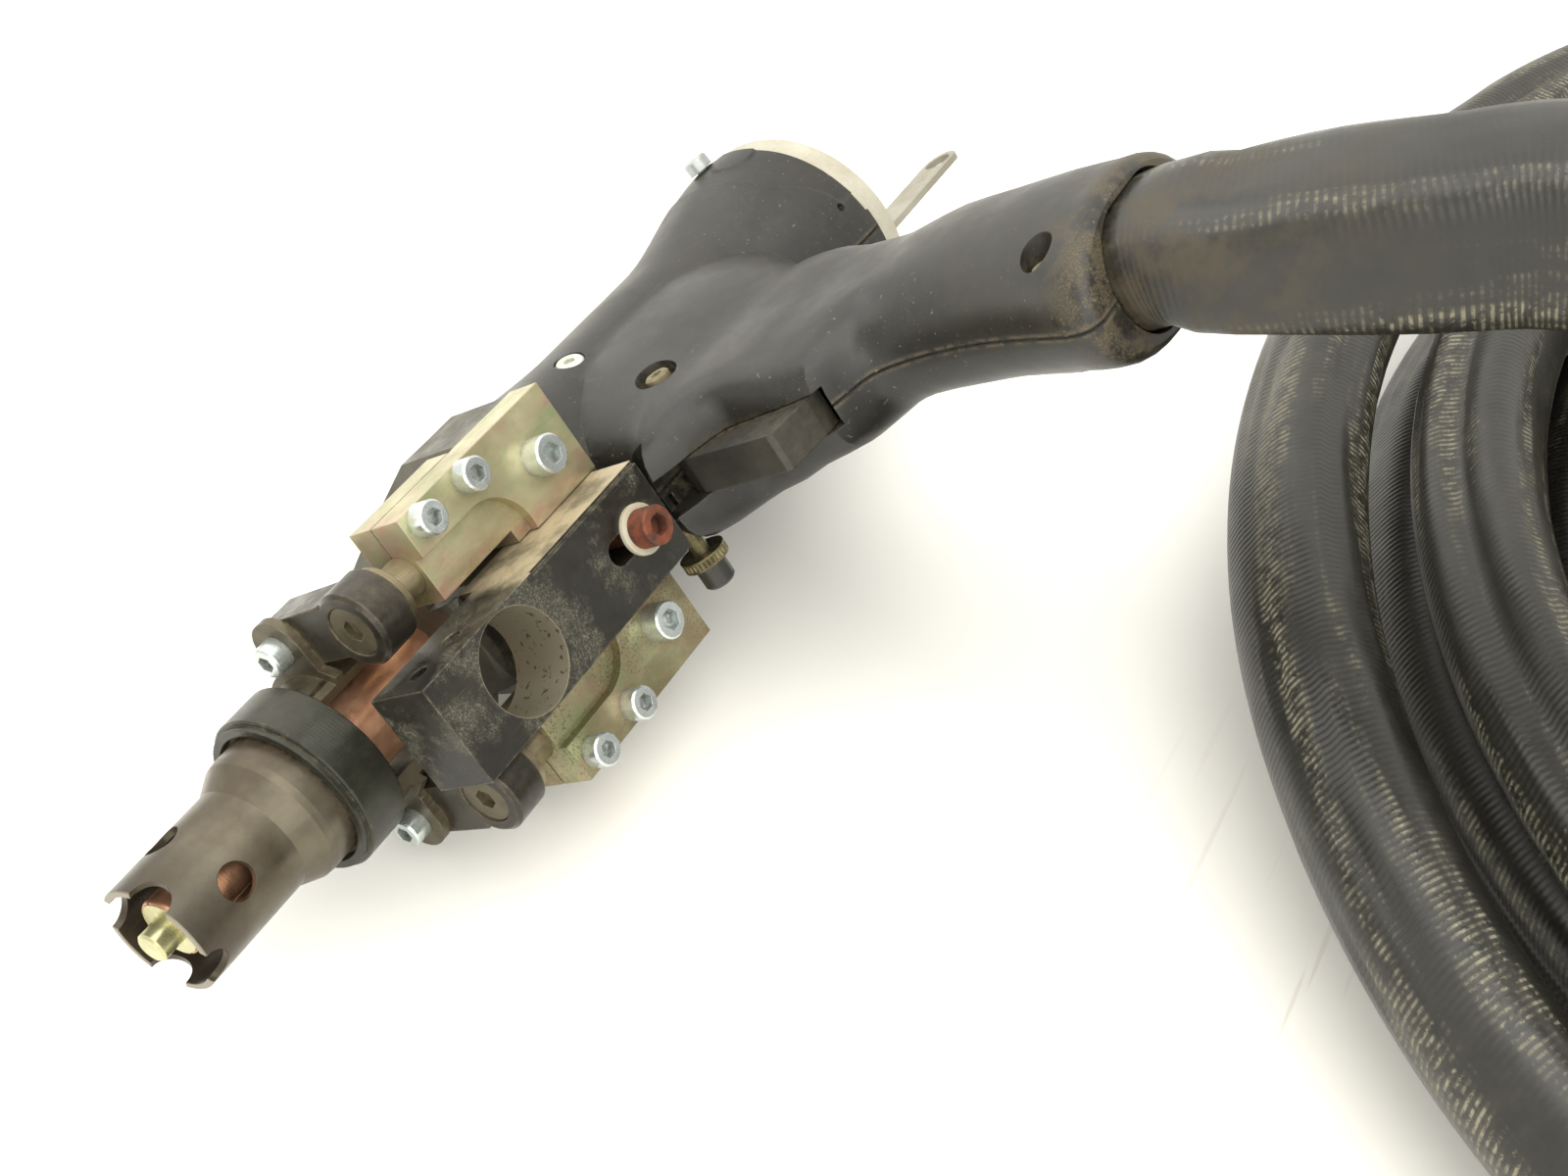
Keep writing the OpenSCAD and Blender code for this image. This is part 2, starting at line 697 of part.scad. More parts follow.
// One foot arm, on the side where z is positive.
module foot_arm() {
    toe_r = 5;
    difference() {
        union() {
            rod([arm_front_x, rod_y, rod_z], arm_boss_r - 1, 1, arm_boss_r);
            rod([arm_front_x + 1, rod_y, rod_z], arm_boss_r, arm_thick - 1);
            rod([arm_front_x, arm_low_y + toe_r, arm_toe_z - toe_r], toe_r, arm_thick);
            translate([arm_front_x, 0, 0]) rotate([90, 0, 90]) linear_extrude(arm_thick) polygon([
                [arm_low_y, arm_inner_z], [arm_low_y, arm_toe_z - toe_r], [arm_low_y + toe_r, arm_toe_z],
                [rod_y - 6, arm_outer_z - 1.8], [rod_y - 6, arm_inner_z]
            ]);
            block([arm_front_x + 1, rod_y - 7, arm_inner_z], [arm_rear_x, rod_y, rod_z]);
        }
        rod([arm_front_x - past, rod_y, rod_z], m6[0] + screw_fit, arm_thick + 2 * past);
        rod([arm_front_x + 0.4, rod_y, rod_z], cone_head_r, cone_head_h + 0.2, m6[0]);
        rod([arm_front_x - past, rod_y, rod_z], cone_head_r, past + 0.4);
        rod([arm_front_x - past, foot_screw_y, foot_screw_z], m5[0] + screw_fit, arm_thick + 2 * past);
        rod([arm_front_x - past, 0, 0], neck_r + 0.2, arm_thick + 2 * past);
    }
}

module foot_arm_left() {
    color(dark_steel_tone) place() mirror([0, 0, 1]) foot_arm();
}

module foot_arm_right() {
    color(dark_steel_tone) place() foot_arm();
}

module foot_ring() {
    slit = 1;
    flange_r = collar_r - 1;
    open = neck_in_r * 4;
    color([0.45, 0.43, 0.38]) place() difference() {
        union() {
            rod([collar_rear_x, 0, 0], neck_r, neck_end_x - collar_rear_x);
            rod([flange_front_x, 0, 0], flange_r, arm_front_x - flange_front_x);
            both_sides() {
                rod([flange_front_x, foot_screw_y, foot_screw_z], ear_r, arm_front_x - flange_front_x);
                block([flange_front_x, foot_screw_y - ear_r, 12],
                      [arm_front_x, foot_screw_y + ear_r, foot_screw_z]);
            }
        }
        rod([collar_rear_x - past, 0, 0], neck_in_r, neck_end_x);
        translate([collar_rear_x - past, 0, 0]) rotate([90, 0, 90]) linear_extrude(neck_end_x)
            polygon([[0, 0], [open * cos(window_half), open * sin(window_half)], [open, 0],
                     [open * cos(window_half), -open * sin(window_half)]]);
        for (side = [-1, 1]) around(side * (window_half + 9))
            block([collar_rear_x - past, neck_in_r - 2, -slit / 2], [flange_front_x, neck_r + past, slit / 2]);
        both_sides() rod([flange_front_x - past, foot_screw_y, foot_screw_z], m5[0] + screw_fit, 6);
    }
}

module foot_screws() {
    color(zinc_tone) place() both_sides()
        translate([flange_front_x, foot_screw_y, foot_screw_z]) rotate([0, -90, 0]) cap_screw(m5, arm_thick + 1);
}

module collar() {
    lip = 1.6;
    lip_in = 1.2;
    bore_front = nozzle_back_r + 1.2;
    bore_seat = nozzle_back_r + 0.05;
    color([0.28, 0.3, 0.27]) place() turned([
        [collar_front_x, bore_front], [collar_front_x, collar_r - lip_in], [collar_front_x + lip, collar_r - lip_in],
        [collar_front_x + lip, collar_r - 0.4], [collar_front_x + lip + 0.4, collar_r],
        [collar_rear_x - 0.4, collar_r], [collar_rear_x, collar_r - 0.4],
        [collar_rear_x, neck_in_r], [nozzle_end_x, neck_in_r], [nozzle_end_x, bore_seat],
        [collar_front_x + 3, bore_seat], [collar_front_x + 3, bore_front]
    ]);
}

module nozzle() {
    in_r = nozzle_r - nozzle_wall;
    back_in_r = nozzle_back_r - nozzle_wall;
    color([0.36, 0.31, 0.28]) place() difference() {
        turned([
            [0, in_r], [0, nozzle_r - 0.3], [0.3, nozzle_r], [flare_from_x, nozzle_r], [flare_to_x, nozzle_back_r - 0.3],
            [flare_to_x + 2, nozzle_back_r], [nozzle_end_x, nozzle_back_r], [nozzle_end_x, back_in_r],
            [flare_to_x, back_in_r], [flare_from_x, in_r]
        ]);
        for (i = [0 : 3]) around(side_hole_angle + 90 * i) peg([side_hole_x, 0, 0], side_hole_r, nozzle_r + past);
        for (i = [0 : 3]) around(side_hole_angle + 45 + 90 * i)
            peg([notch_depth - notch_r, 0, 0], notch_r, nozzle_r + past);
    }
}

// ---------------------------------------------------------------- spindle

module spindle() {
    disc_r = sleeve_r - sleeve_wall - sleeve_fit;
    color([0.7, 0.7, 0.68]) place() turned([
        [collet_end_x, 0], [collet_end_x, spindle_r + 3], [collet_end_x + 6, spindle_r + 3],
        [collet_end_x + 8, spindle_r], [sleeve_end_x - 14, spindle_r], [sleeve_end_x - 14, disc_r],
        [sleeve_end_x - 2, disc_r], [sleeve_end_x - 2, 0]
    ]);
}

// The copper sleeve is open on its lower side, from the edge seen below the bracket.
module sleeve() {
    cut = 40;
    neck_bore = spindle_r + 3 + sleeve_fit;
    color(copper_tone) place() difference() {
        turned([
            [collet_end_x + 0.1, neck_bore], [collet_end_x + 0.1, sleeve_r - 2], [collet_end_x + 2, sleeve_r],
            [sleeve_end_x, sleeve_r], [sleeve_end_x, sleeve_r - sleeve_wall], [collet_end_x + 6, sleeve_r - sleeve_wall],
            [collet_end_x + 6, neck_bore]
        ]);
        around(-38) block([collet_end_x + 8, -cut, 0], [sleeve_end_x - 20, nudge, cut]);
        around(-38) block([collet_end_x + 8, 0, 0], [sleeve_end_x - 20, cut, cut]);
    }
}

module collet() {
    slit = 0.8;
    bore_end_x = collet_end_x - 16;
    slit_end_x = bore_end_x - 3;
    color(copper_tone) place() difference() {
        turned([
            [collet_front_x, stud_flange_r + 0.05], [collet_front_x, collet_r - 0.3], [collet_front_x + 0.6, collet_r],
            [collet_end_x, collet_r], [collet_end_x, 0], [bore_end_x, 0], [bore_end_x, stud_r + 0.05],
            [collet_front_x + 2.2, stud_r + 0.05], [collet_front_x + 2.2, stud_flange_r + 0.05]
        ]);
        for (i = [0 : 5]) around(collet_slit_angle + 60 * i)
            block([collet_front_x - past, stud_r - 1, -slit / 2], [slit_end_x, collet_r + past, slit / 2]);
    }
}

module stud() {
    flange_x = collet_front_x - 0.2;
    color([0.78, 0.76, 0.52]) place() turned([
        [-stud_out, 0], [-stud_out, stud_r - 0.5], [0.5 - stud_out, stud_r], [flange_x, stud_r],
        [flange_x, stud_flange_r], [flange_x + 2, stud_flange_r], [flange_x + 2, stud_r], [24, stud_r], [24, 0]
    ]);
}

// ---------------------------------------------------------------- trigger and adjuster

module trigger() {
    face_x = trigger_face_x;
    color([0.17, 0.17, 0.17]) place() difference() {
        translate([0, 0, -trigger_w / 2]) linear_extrude(trigger_w) polygon([
            [face_x + 12, trigger_top_y], [face_x + 4, trigger_top_y + 3], [face_x + 1, trigger_top_y + 9],
            [face_x, trigger_low_y - 4], [face_x + 0.8, trigger_low_y - 2.4], [face_x + trigger_out, trigger_low_y],
            [face_x + 20, trigger_low_y], [face_x + 20, trigger_low_y - 10], [face_x + 16, trigger_top_y + 6]
        ]);
        translate([trigger_pivot_x, trigger_pivot_y, -20]) cylinder(r = trigger_pin_r + 0.05, h = 40);
    }
}

module trigger_pin() {
    color(zinc_tone) place() translate([trigger_pivot_x, trigger_pivot_y, -11.5])
        cylinder(r = trigger_pin_r, h = 23);
}

module adjust_nut() {
    teeth = 30;
    tooth = 0.5;
    color(yellow_zinc_tone) place() translate([adjust_x, adjust_y, adjust_z]) union() {
        difference() {
            cylinder(r = adjust_nut_r, h = adjust_nut_h);
            for (i = [0 : teeth - 1]) rotate([0, 0, 360 * i / teeth]) translate([adjust_nut_r, 0, 0.6])
                rotate([0, 0, 45]) translate([-tooth / 2, -tooth / 2, 0]) cube([tooth, tooth, adjust_nut_h - 1.2]);
        }
        translate([0, 0, -14]) cylinder(r = 2.5, h = 14 + nudge);
    }
}

module adjust_knob() {
    edge = 0.8;
    color([0.12, 0.12, 0.12]) place() translate([adjust_x, adjust_y, adjust_z + adjust_nut_h]) {
        cylinder(r = adjust_knob_r, h = adjust_knob_h - edge);
        translate([0, 0, adjust_knob_h - edge])
            cylinder(r1 = adjust_knob_r, r2 = adjust_knob_r - edge, h = edge);
    }
}

// ---------------------------------------------------------------- rear end and shell screws

module rear_cap() {
    spigot_r = cap_r - 1;
    edge = 1;
    lug_fit = 0.1;
    color([0.88, 0.86, 0.78]) place() difference() {
        turned([
            [shell_end_x - cap_recess, 0], [shell_end_x - cap_recess, spigot_r], [shell_end_x, spigot_r],
            [shell_end_x, cap_r], [shell_end_x + cap_thick - edge, cap_r],
            [shell_end_x + cap_thick, cap_r - edge], [shell_end_x + cap_thick, 0]
        ]);
        block([shell_end_x + 1 - lug_fit, lug_y - lug_w / 2 - lug_fit, lug_z - lug_thick / 2 - lug_fit],
              [shell_end_x + cap_thick + past, lug_y + lug_w / 2 + lug_fit, lug_z + lug_thick / 2 + lug_fit]);
        for (a = [100, 280]) around(a) peg([shell_end_x - 5, 0, 0], 1.9, cap_r + past);
    }
}

module rear_cap_screws() {
    color(zinc_tone) place() for (a = [100, 280]) around(a)
        translate([shell_end_x - 5, rear_rim_r - 0.2, 0]) rotate([-90, 0, 0]) cap_screw([1.85, 4, 4, 3], 14);
}

module hanging_lug() {
    tip_x = shell_end_x + cap_thick + lug_len;
    color([0.72, 0.71, 0.66]) place() difference() {
        union() {
            block([shell_end_x + 1, lug_y - lug_w / 2, lug_z - lug_thick / 2],
                  [tip_x - lug_w / 2, lug_y + lug_w / 2, lug_z + lug_thick / 2]);
            translate([tip_x - lug_w / 2, lug_y, lug_z - lug_thick / 2]) cylinder(r = lug_w / 2, h = lug_thick);
        }
        translate([tip_x - lug_w / 2 - 0.6, lug_y, lug_z - lug_thick]) cylinder(r = lug_eye_r, h = 2 * lug_thick);
    }
}

module shell_screws() {
    color([0.5, 0.48, 0.42]) place() both_sides() for (p = shell_pockets)
        translate([p[0], p[1], p[3]]) cap_screw([1.95, 3.4, 3.2, 3], 7.5);
}

module barrel_screw() {
    color(zinc_tone) place() around(barrel_screw_angle)
        translate([barrel_screw_x, barrel_waist_r - 1.6, 0]) rotate([-90, 0, 0]) cap_screw([2.15, 4.1, 1.6, 3], 8);
}

// ---------------------------------------------------------------- hose, coil and far end

mouth_path = [
    on_table([mouth_x, handle_len - mouth_depth, 0]),
    on_table([mouth_x, rim_y + 0.05, 0]),
    on_table([mouth_x, rim_y + 0.4, 0]),
    on_table([mouth_x, handle_len, 0]),
    on_table([mouth_x, handle_len + 9, 0])
];

// One point of the coil, t turns from its upper end, on the table.
function coil_r(t) = coil_in_r + coil_pitch * min(t, coil_turns - t);
function coil_z(t) = layer_low_z + layer_step * (1 - ease((t - climb_from) / (climb_to - climb_from)));
function coil_at(t) =
    let (a = coil_start_angle + 360 * t)
        [coil_centre[0] + coil_r(t) * cos(a), coil_centre[1] + coil_r(t) * sin(a), coil_z(t)];
function coil_dir(t) = let (a = coil_start_angle + 360 * t) [-sin(a), cos(a), 0];

coil_steps = round(coil_turns * coil_rings);
coil_top_end = coil_at(0) - hose_d * coil_dir(0);
coil_low_end = coil_at(coil_turns) + hose_d * coil_dir(coil_turns);
coil_path = concat(
    [coil_top_end],
    [for (i = [0 : coil_steps]) coil_at(coil_turns * i / coil_steps)],
    [coil_low_end]
);

// Least distance between points of the coil that are at least half a turn apart.
coil_gap = min([
    for (i = [0 : len(coil_path) - 1], j = [i + 12 : 1 : len(coil_path) - 1])
        norm(coil_path[i] - coil_path[j])
]) - hose_d;
echo(coil_least_gap_mm = coil_gap);

lead_path = concat(mouth_path, lead_points, [coil_top_end]);

module hose_lead() {
    color(hose_tone) tube(lead_path, hose_r, 12, handle_dir, coil_dir(0), lead_squeeze);
}

module hose_coil() {
    color(hose_tone) tube(coil_path, hose_r, coil_sides, coil_dir(0), coil_dir(coil_turns));
}

boot_dir = unit([0.83, 0.56, 0]);
boot_at = [224, -539, layer_low_z];
boot_end = boot_at + boot_len * boot_dir;

module hose_tail() {
    color(hose_tone) tube(concat([coil_low_end], tail_points, [boot_at]), hose_r, 12,
                          coil_dir(coil_turns), boot_dir);
}

// Stands its children's z axis along a direction, at a point.
module along(at, dir) {
    d = unit(dir);
    translate(at) rotate([0, acos(d[2]), atan2(d[1], d[0])]) children();
}

module split_boot() {
    end_r = 17;
    color([0.16, 0.16, 0.17]) along(boot_at, boot_dir) rotate_extrude() polygon([
        [0, 0], [hose_r, 0], [hose_r, boot_len * 0.3], [end_r, boot_len - 3], [end_r - 2, boot_len], [0, boot_len]
    ]);
}

weld_from = boot_end + 0.1 * boot_dir + [2.8, -4.2, -2];
control_from = boot_end + 0.1 * boot_dir + [-5.3, 7.9, -2];
weld_end = weld_points[len(weld_points) - 1];
control_end = control_points[len(control_points) - 1];
weld_dir = unit([-1, 0.45, 0]);
control_dir = unit([-1, 0.1, 0]);

module weld_lead() {
    color([0.2, 0.18, 0.16]) tube(curve_through(concat([weld_from], weld_points), 2), weld_cable_r, 10,
                                  boot_dir, weld_dir);
}

module control_lead() {
    color([0.15, 0.15, 0.16]) tube(curve_through(concat([control_from], control_points), 2), control_cable_r, 8,
                                   boot_dir, control_dir);
}

module weld_plug() {
    r = weld_plug_r;
    color([0.18, 0.18, 0.18]) along(weld_end, weld_dir) rotate_extrude() polygon([
        [0, 0], [10, 0], [11, 14], [r - 1, 22], [r - 1, 26], [r - 2.4, 28], [r - 2.4, 40], [r - 0.2, 42], [r - 0.2, 58],
        [r - 1.4, 60], [0, 60]
    ]);
}

module weld_contact() {
    pin_r = 6.4;
    root_r = 7;
    root_len = 7.4;
    color([0.76, 0.62, 0.34]) along(weld_end + 60 * weld_dir, weld_dir) union() {
        cylinder(r = root_r, h = root_len);
        cylinder(r = pin_r, h = 20);
        translate([pin_r - 1, -1.6, 2]) cube([3, 3.2, 5]);
    }
}

module control_plug() {
    r = control_plug_r;
    color([0.22, 0.22, 0.23]) along(control_end, control_dir) rotate_extrude() polygon([
        [0, 0], [6, 0], [6.5, 10], [r - 1.5, 13], [r - 1.5, 34], [r - 3, 34], [r - 3, 46], [0, 46]
    ]);
}

module control_ring() {
    r = control_plug_r;
    ribs = 16;
    color([0.5, 0.5, 0.5]) along(control_end + 34 * control_dir, control_dir) difference() {
        cylinder(r = r, h = 14);
        translate([0, 0, -past]) cylinder(r = r - 2.95, h = 14 + 2 * past);
        for (i = [0 : ribs - 1]) rotate([0, 0, 360 * i / ribs]) translate([r, 0, 3]) rotate([0, 0, 45])
            translate([-0.5, -0.5, 0]) cube([1, 1, 8]);
    }
}

shell_upper();
shell_lower();
housing_block();
clamp_left();
clamp_right();
clamp_screws_m6();
clamp_screws_m5();
bracket();
bracket_screw();
bracket_washer();
rod_left();
rod_right();
rod_flanges();
rod_screws();
foot_arm_left();
foot_arm_right();
foot_ring();
foot_screws();
collar();
nozzle();
spindle();
sleeve();
collet();
stud();
trigger();
trigger_pin();
adjust_nut();
adjust_knob();
rear_cap();
rear_cap_screws();
hanging_lug();
shell_screws();
barrel_screw();
hose_lead();
hose_coil();
hose_tail();
split_boot();
weld_lead();
weld_plug();
weld_contact();
control_lead();
control_plug();
control_ring();
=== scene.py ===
"""Looks for a drawn-arc stud welding gun and its cable-hose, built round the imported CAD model.

Every length is in metres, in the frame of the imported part: x along the table, z up.
"""

import json
import logging
import math
from collections.abc import Callable, Iterable
from dataclasses import dataclass
from enum import Enum

import bmesh
import bpy
from mathutils import Matrix, Vector, noise

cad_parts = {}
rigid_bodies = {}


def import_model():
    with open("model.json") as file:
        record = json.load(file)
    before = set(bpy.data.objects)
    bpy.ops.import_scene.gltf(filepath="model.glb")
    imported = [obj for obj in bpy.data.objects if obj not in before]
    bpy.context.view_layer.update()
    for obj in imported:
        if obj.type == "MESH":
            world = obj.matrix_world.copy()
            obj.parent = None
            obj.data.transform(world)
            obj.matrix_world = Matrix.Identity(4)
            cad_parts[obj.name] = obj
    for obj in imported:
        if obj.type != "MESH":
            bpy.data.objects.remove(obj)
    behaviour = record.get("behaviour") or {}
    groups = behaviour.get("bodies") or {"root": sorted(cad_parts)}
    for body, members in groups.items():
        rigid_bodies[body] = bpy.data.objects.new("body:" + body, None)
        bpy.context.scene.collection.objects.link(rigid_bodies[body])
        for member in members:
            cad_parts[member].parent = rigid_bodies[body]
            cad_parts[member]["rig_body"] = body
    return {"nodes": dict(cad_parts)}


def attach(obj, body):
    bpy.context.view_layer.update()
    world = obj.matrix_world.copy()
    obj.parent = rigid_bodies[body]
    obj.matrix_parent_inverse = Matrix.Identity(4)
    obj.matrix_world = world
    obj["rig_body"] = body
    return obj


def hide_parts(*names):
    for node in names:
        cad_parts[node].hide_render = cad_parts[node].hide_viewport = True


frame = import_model()

log = logging.getLogger("stud_gun")

Colour = tuple[float, float, float, float]
Socket = bpy.types.NodeSocket
Value = Socket | float | tuple
Span = tuple[float, float]  # where a change starts, and how far it goes on

GUN_ROLL = math.radians(143.56)
GUN_SHIFT = Vector((-0.1813, 0.0556, 0.0382))
TURN = 2 * math.pi
NODE_GAP = 170
WELD_GAP = 0.000004
OFF_TABLE = 0.0004


def on_table(x: float, y: float, z: float) -> Vector:
    """Takes a point of the gun's own frame to the table's frame.

    Args:
        x: Distance behind the nozzle's rim.
        y: Distance from the barrel axis towards the handle's end.
        z: Distance from the seam plane towards the side that lies underneath.

    Returns:
        The same point on the table.
    """
    return GUN_SHIFT + Matrix.Rotation(GUN_ROLL, 3, "X") @ Vector((x, y, z))


def off_table(place: Vector) -> Vector:
    """Takes a point of the table's frame to the gun's own frame."""
    return Matrix.Rotation(-GUN_ROLL, 3, "X") @ (place - GUN_SHIFT)


def tone(red: int, green: int, blue: int, light: float = 1.28) -> Colour:
    """Linear colour that shows as a screen colour, 0 to 255, under lights brighter than white."""
    linear = [((v / 255 + 0.055) / 1.055) ** 2.4 / light for v in (red, green, blue)]
    return (*linear, 1.0)


def ease(share: float) -> float:
    """Smooth step from 0 to 1."""
    held = min(1.0, max(0.0, share))
    return held * held * (3 - 2 * held)


def change(place: float, span: Span) -> float:
    """Smooth step from 0 to 1 over a span."""
    start, extent = span
    return ease((place - start) / extent)


# ------------------------------------------------------------------ node trees


class Mixing(Enum):
    """What a Mix node mixes: its data type, the number of its first such input and its output."""

    COLOURS = ("RGBA", 6, 2)
    NUMBERS = ("FLOAT", 2, 0)


class Painter:
    """Places nodes in one node tree and joins them."""

    def __init__(self, tree: bpy.types.NodeTree) -> None:
        """Starts at the left of an empty tree."""
        self.tree = tree
        self.column = 0

    def node(self, kind: str, **settings: object) -> bpy.types.Node:
        """Adds one node.

        Args:
            kind: The node's type name.
            settings: Properties of the node itself, such as its operation.

        Returns:
            The new node.
        """
        made = self.tree.nodes.new(kind)
        for key, value in settings.items():
            setattr(made, key, value)
        made.location = (self.column, 0)
        self.column += NODE_GAP
        return made

    def feed(self, socket: Socket, value: Value) -> None:
        """Joins an output to an input, or sets the input's own value.

        Args:
            socket: The input.
            value: An output to join to it, or a plain value.
        """
        if isinstance(value, bpy.types.NodeSocket):
            self.tree.links.new(value, socket)
        else:
            socket.default_value = value

    def math(self, operation: str, *values: Value, clamp: bool = False) -> Socket:
        """Adds one Math node and returns its output.

        Args:
            operation: The node's operation.
            values: Its inputs, in order.
            clamp: Whether the result is held between 0 and 1.

        Returns:
            The result.
        """
        made = self.node("ShaderNodeMath", operation=operation, use_clamp=clamp)
        for socket, value in zip(made.inputs, values):
            self.feed(socket, value)
        return made.outputs[0]

    def times(self, first: Value, *others: Value, clamp: bool = False) -> Socket:
        """Multiplies values, and holds the product between 0 and 1 if asked.

        Args:
            first: The first value.
            others: What it is multiplied by.
            clamp: Whether the product is held between 0 and 1.

        Returns:
            The product.
        """
        product = first
        for i, value in enumerate(others, 1):
            product = self.math("MULTIPLY", product, value, clamp=clamp and i == len(others))
        return product

    def plus(self, first: Value, *others: Value) -> Socket:
        """Adds values up.

        Args:
            first: The first value.
            others: What is added to it.

        Returns:
            The sum.
        """
        total = first
        for value in others:
            total = self.math("ADD", total, value)
        return total

    def minus(self, first: Value, second: Value) -> Socket:
        """Takes the second value from the first."""
        return self.math("SUBTRACT", first, second)

    def _mixed(self, mixing: Mixing, share: Value, first: Value, second: Value) -> Socket:
        """Adds a Mix node.

        Args:
            mixing: What the node mixes.
            share: How much of the second one shows, from 0 to 1.
            first: The first colour or number.
            second: The second colour or number.

        Returns:
            The mixed colour or number.
        """
        data_type, first_input, output = mixing.value
        made = self.node("ShaderNodeMix", data_type=data_type)
        self.feed(made.inputs[0], share)
        self.feed(made.inputs[first_input], first)
        self.feed(made.inputs[first_input + 1], second)
        return made.outputs[output]

    def mix(self, share: Value, first: Value, second: Value) -> Socket:
        """Mixes two colours and returns the result."""
        return self._mixed(Mixing.COLOURS, share, first, second)

    def blend(self, share: Value, first: Value, second: Value) -> Socket:
        """Mixes two numbers and returns the result."""
        return self._mixed(Mixing.NUMBERS, share, first, second)

    def noise(
        self, vector: Value, scale: Value, detail: float = 3.0, rough: float = 0.55
    ) -> Socket:
        """Adds a noise texture and returns its value, which lies near a half.

        Args:
            vector: Where it is read.
            scale: Lumps to the metre, roughly.
            detail: How many finer layers it has.
            rough: How strong the finer layers are.

        Returns:
            The noise's value.
        """
        made = self.node("ShaderNodeTexNoise")
        self.feed(made.inputs["Vector"], vector)
        self.feed(made.inputs["Scale"], scale)
        made.inputs["Detail"].default_value = detail
        made.inputs["Roughness"].default_value = rough
        return made.outputs[0]

    def step(
        self, value: Value, low: Value, high: Value, out_low: Value = 0.0, out_high: Value = 1.0
    ) -> Socket:
        """Takes a value from low..high to out_low..out_high, smoothly and held at both ends.

        Args:
            value: What is changed.
            low: Where the change starts.
            high: Where it ends.
            out_low: The result up to the start.
            out_high: The result from the end.

        Returns:
            The changed value.
        """
        made = self.node("ShaderNodeMapRange", interpolation_type="SMOOTHSTEP")
        for name, given in (
            ("Value", value), ("From Min", low), ("From Max", high), ("To Min", out_low),
            ("To Max", out_high),
        ):
            self.feed(made.inputs[name], given)
        return made.outputs[0]

    def parts(self, vector: Socket) -> tuple[Socket, Socket, Socket]:
        """Splits a vector into its three numbers.

        Args:
            vector: The vector.

        Returns:
            Its x, y and z.
        """
        made = self.node("ShaderNodeSeparateXYZ")
        self.feed(made.inputs[0], vector)
        return made.outputs[0], made.outputs[1], made.outputs[2]

    def mapped(
        self, vector: Value, scale: tuple = (1, 1, 1), turn: tuple = (0, 0, 0),
        shift: tuple = (0, 0, 0),
    ) -> Socket:
        """Stretches, turns and shifts a pattern's coordinates.

        Args:
            vector: The coordinates.
            scale: Stretch along x, y and z.
            turn: Turn round x, y and z, in radians.
            shift: Move along x, y and z.

        Returns:
            The new coordinates.
        """
        made = self.node("ShaderNodeMapping")
        self.feed(made.inputs["Vector"], vector)
        made.inputs["Scale"].default_value = scale
        made.inputs["Rotation"].default_value = turn
        made.inputs["Location"].default_value = shift
        return made.outputs[0]

    def effect(self, tree: bpy.types.NodeTree, **values: Value) -> Socket:
        """Places a shared effect and returns its one output.

        Args:
            tree: The effect's node group.
            values: Its inputs, by name.

        Returns:
            The result.
        """
        made = self.node("ShaderNodeGroup", node_tree=tree)
        for name, value in values.items():
            self.feed(made.inputs[name.replace("_", " ").capitalize()], value)
        return made.outputs[0]


class Kind(Enum):
    """Kinds of socket that an effect has."""

    NUMBER = "NodeSocketFloat"
    VECTOR = "NodeSocketVector"
    COLOUR = "NodeSocketColor"


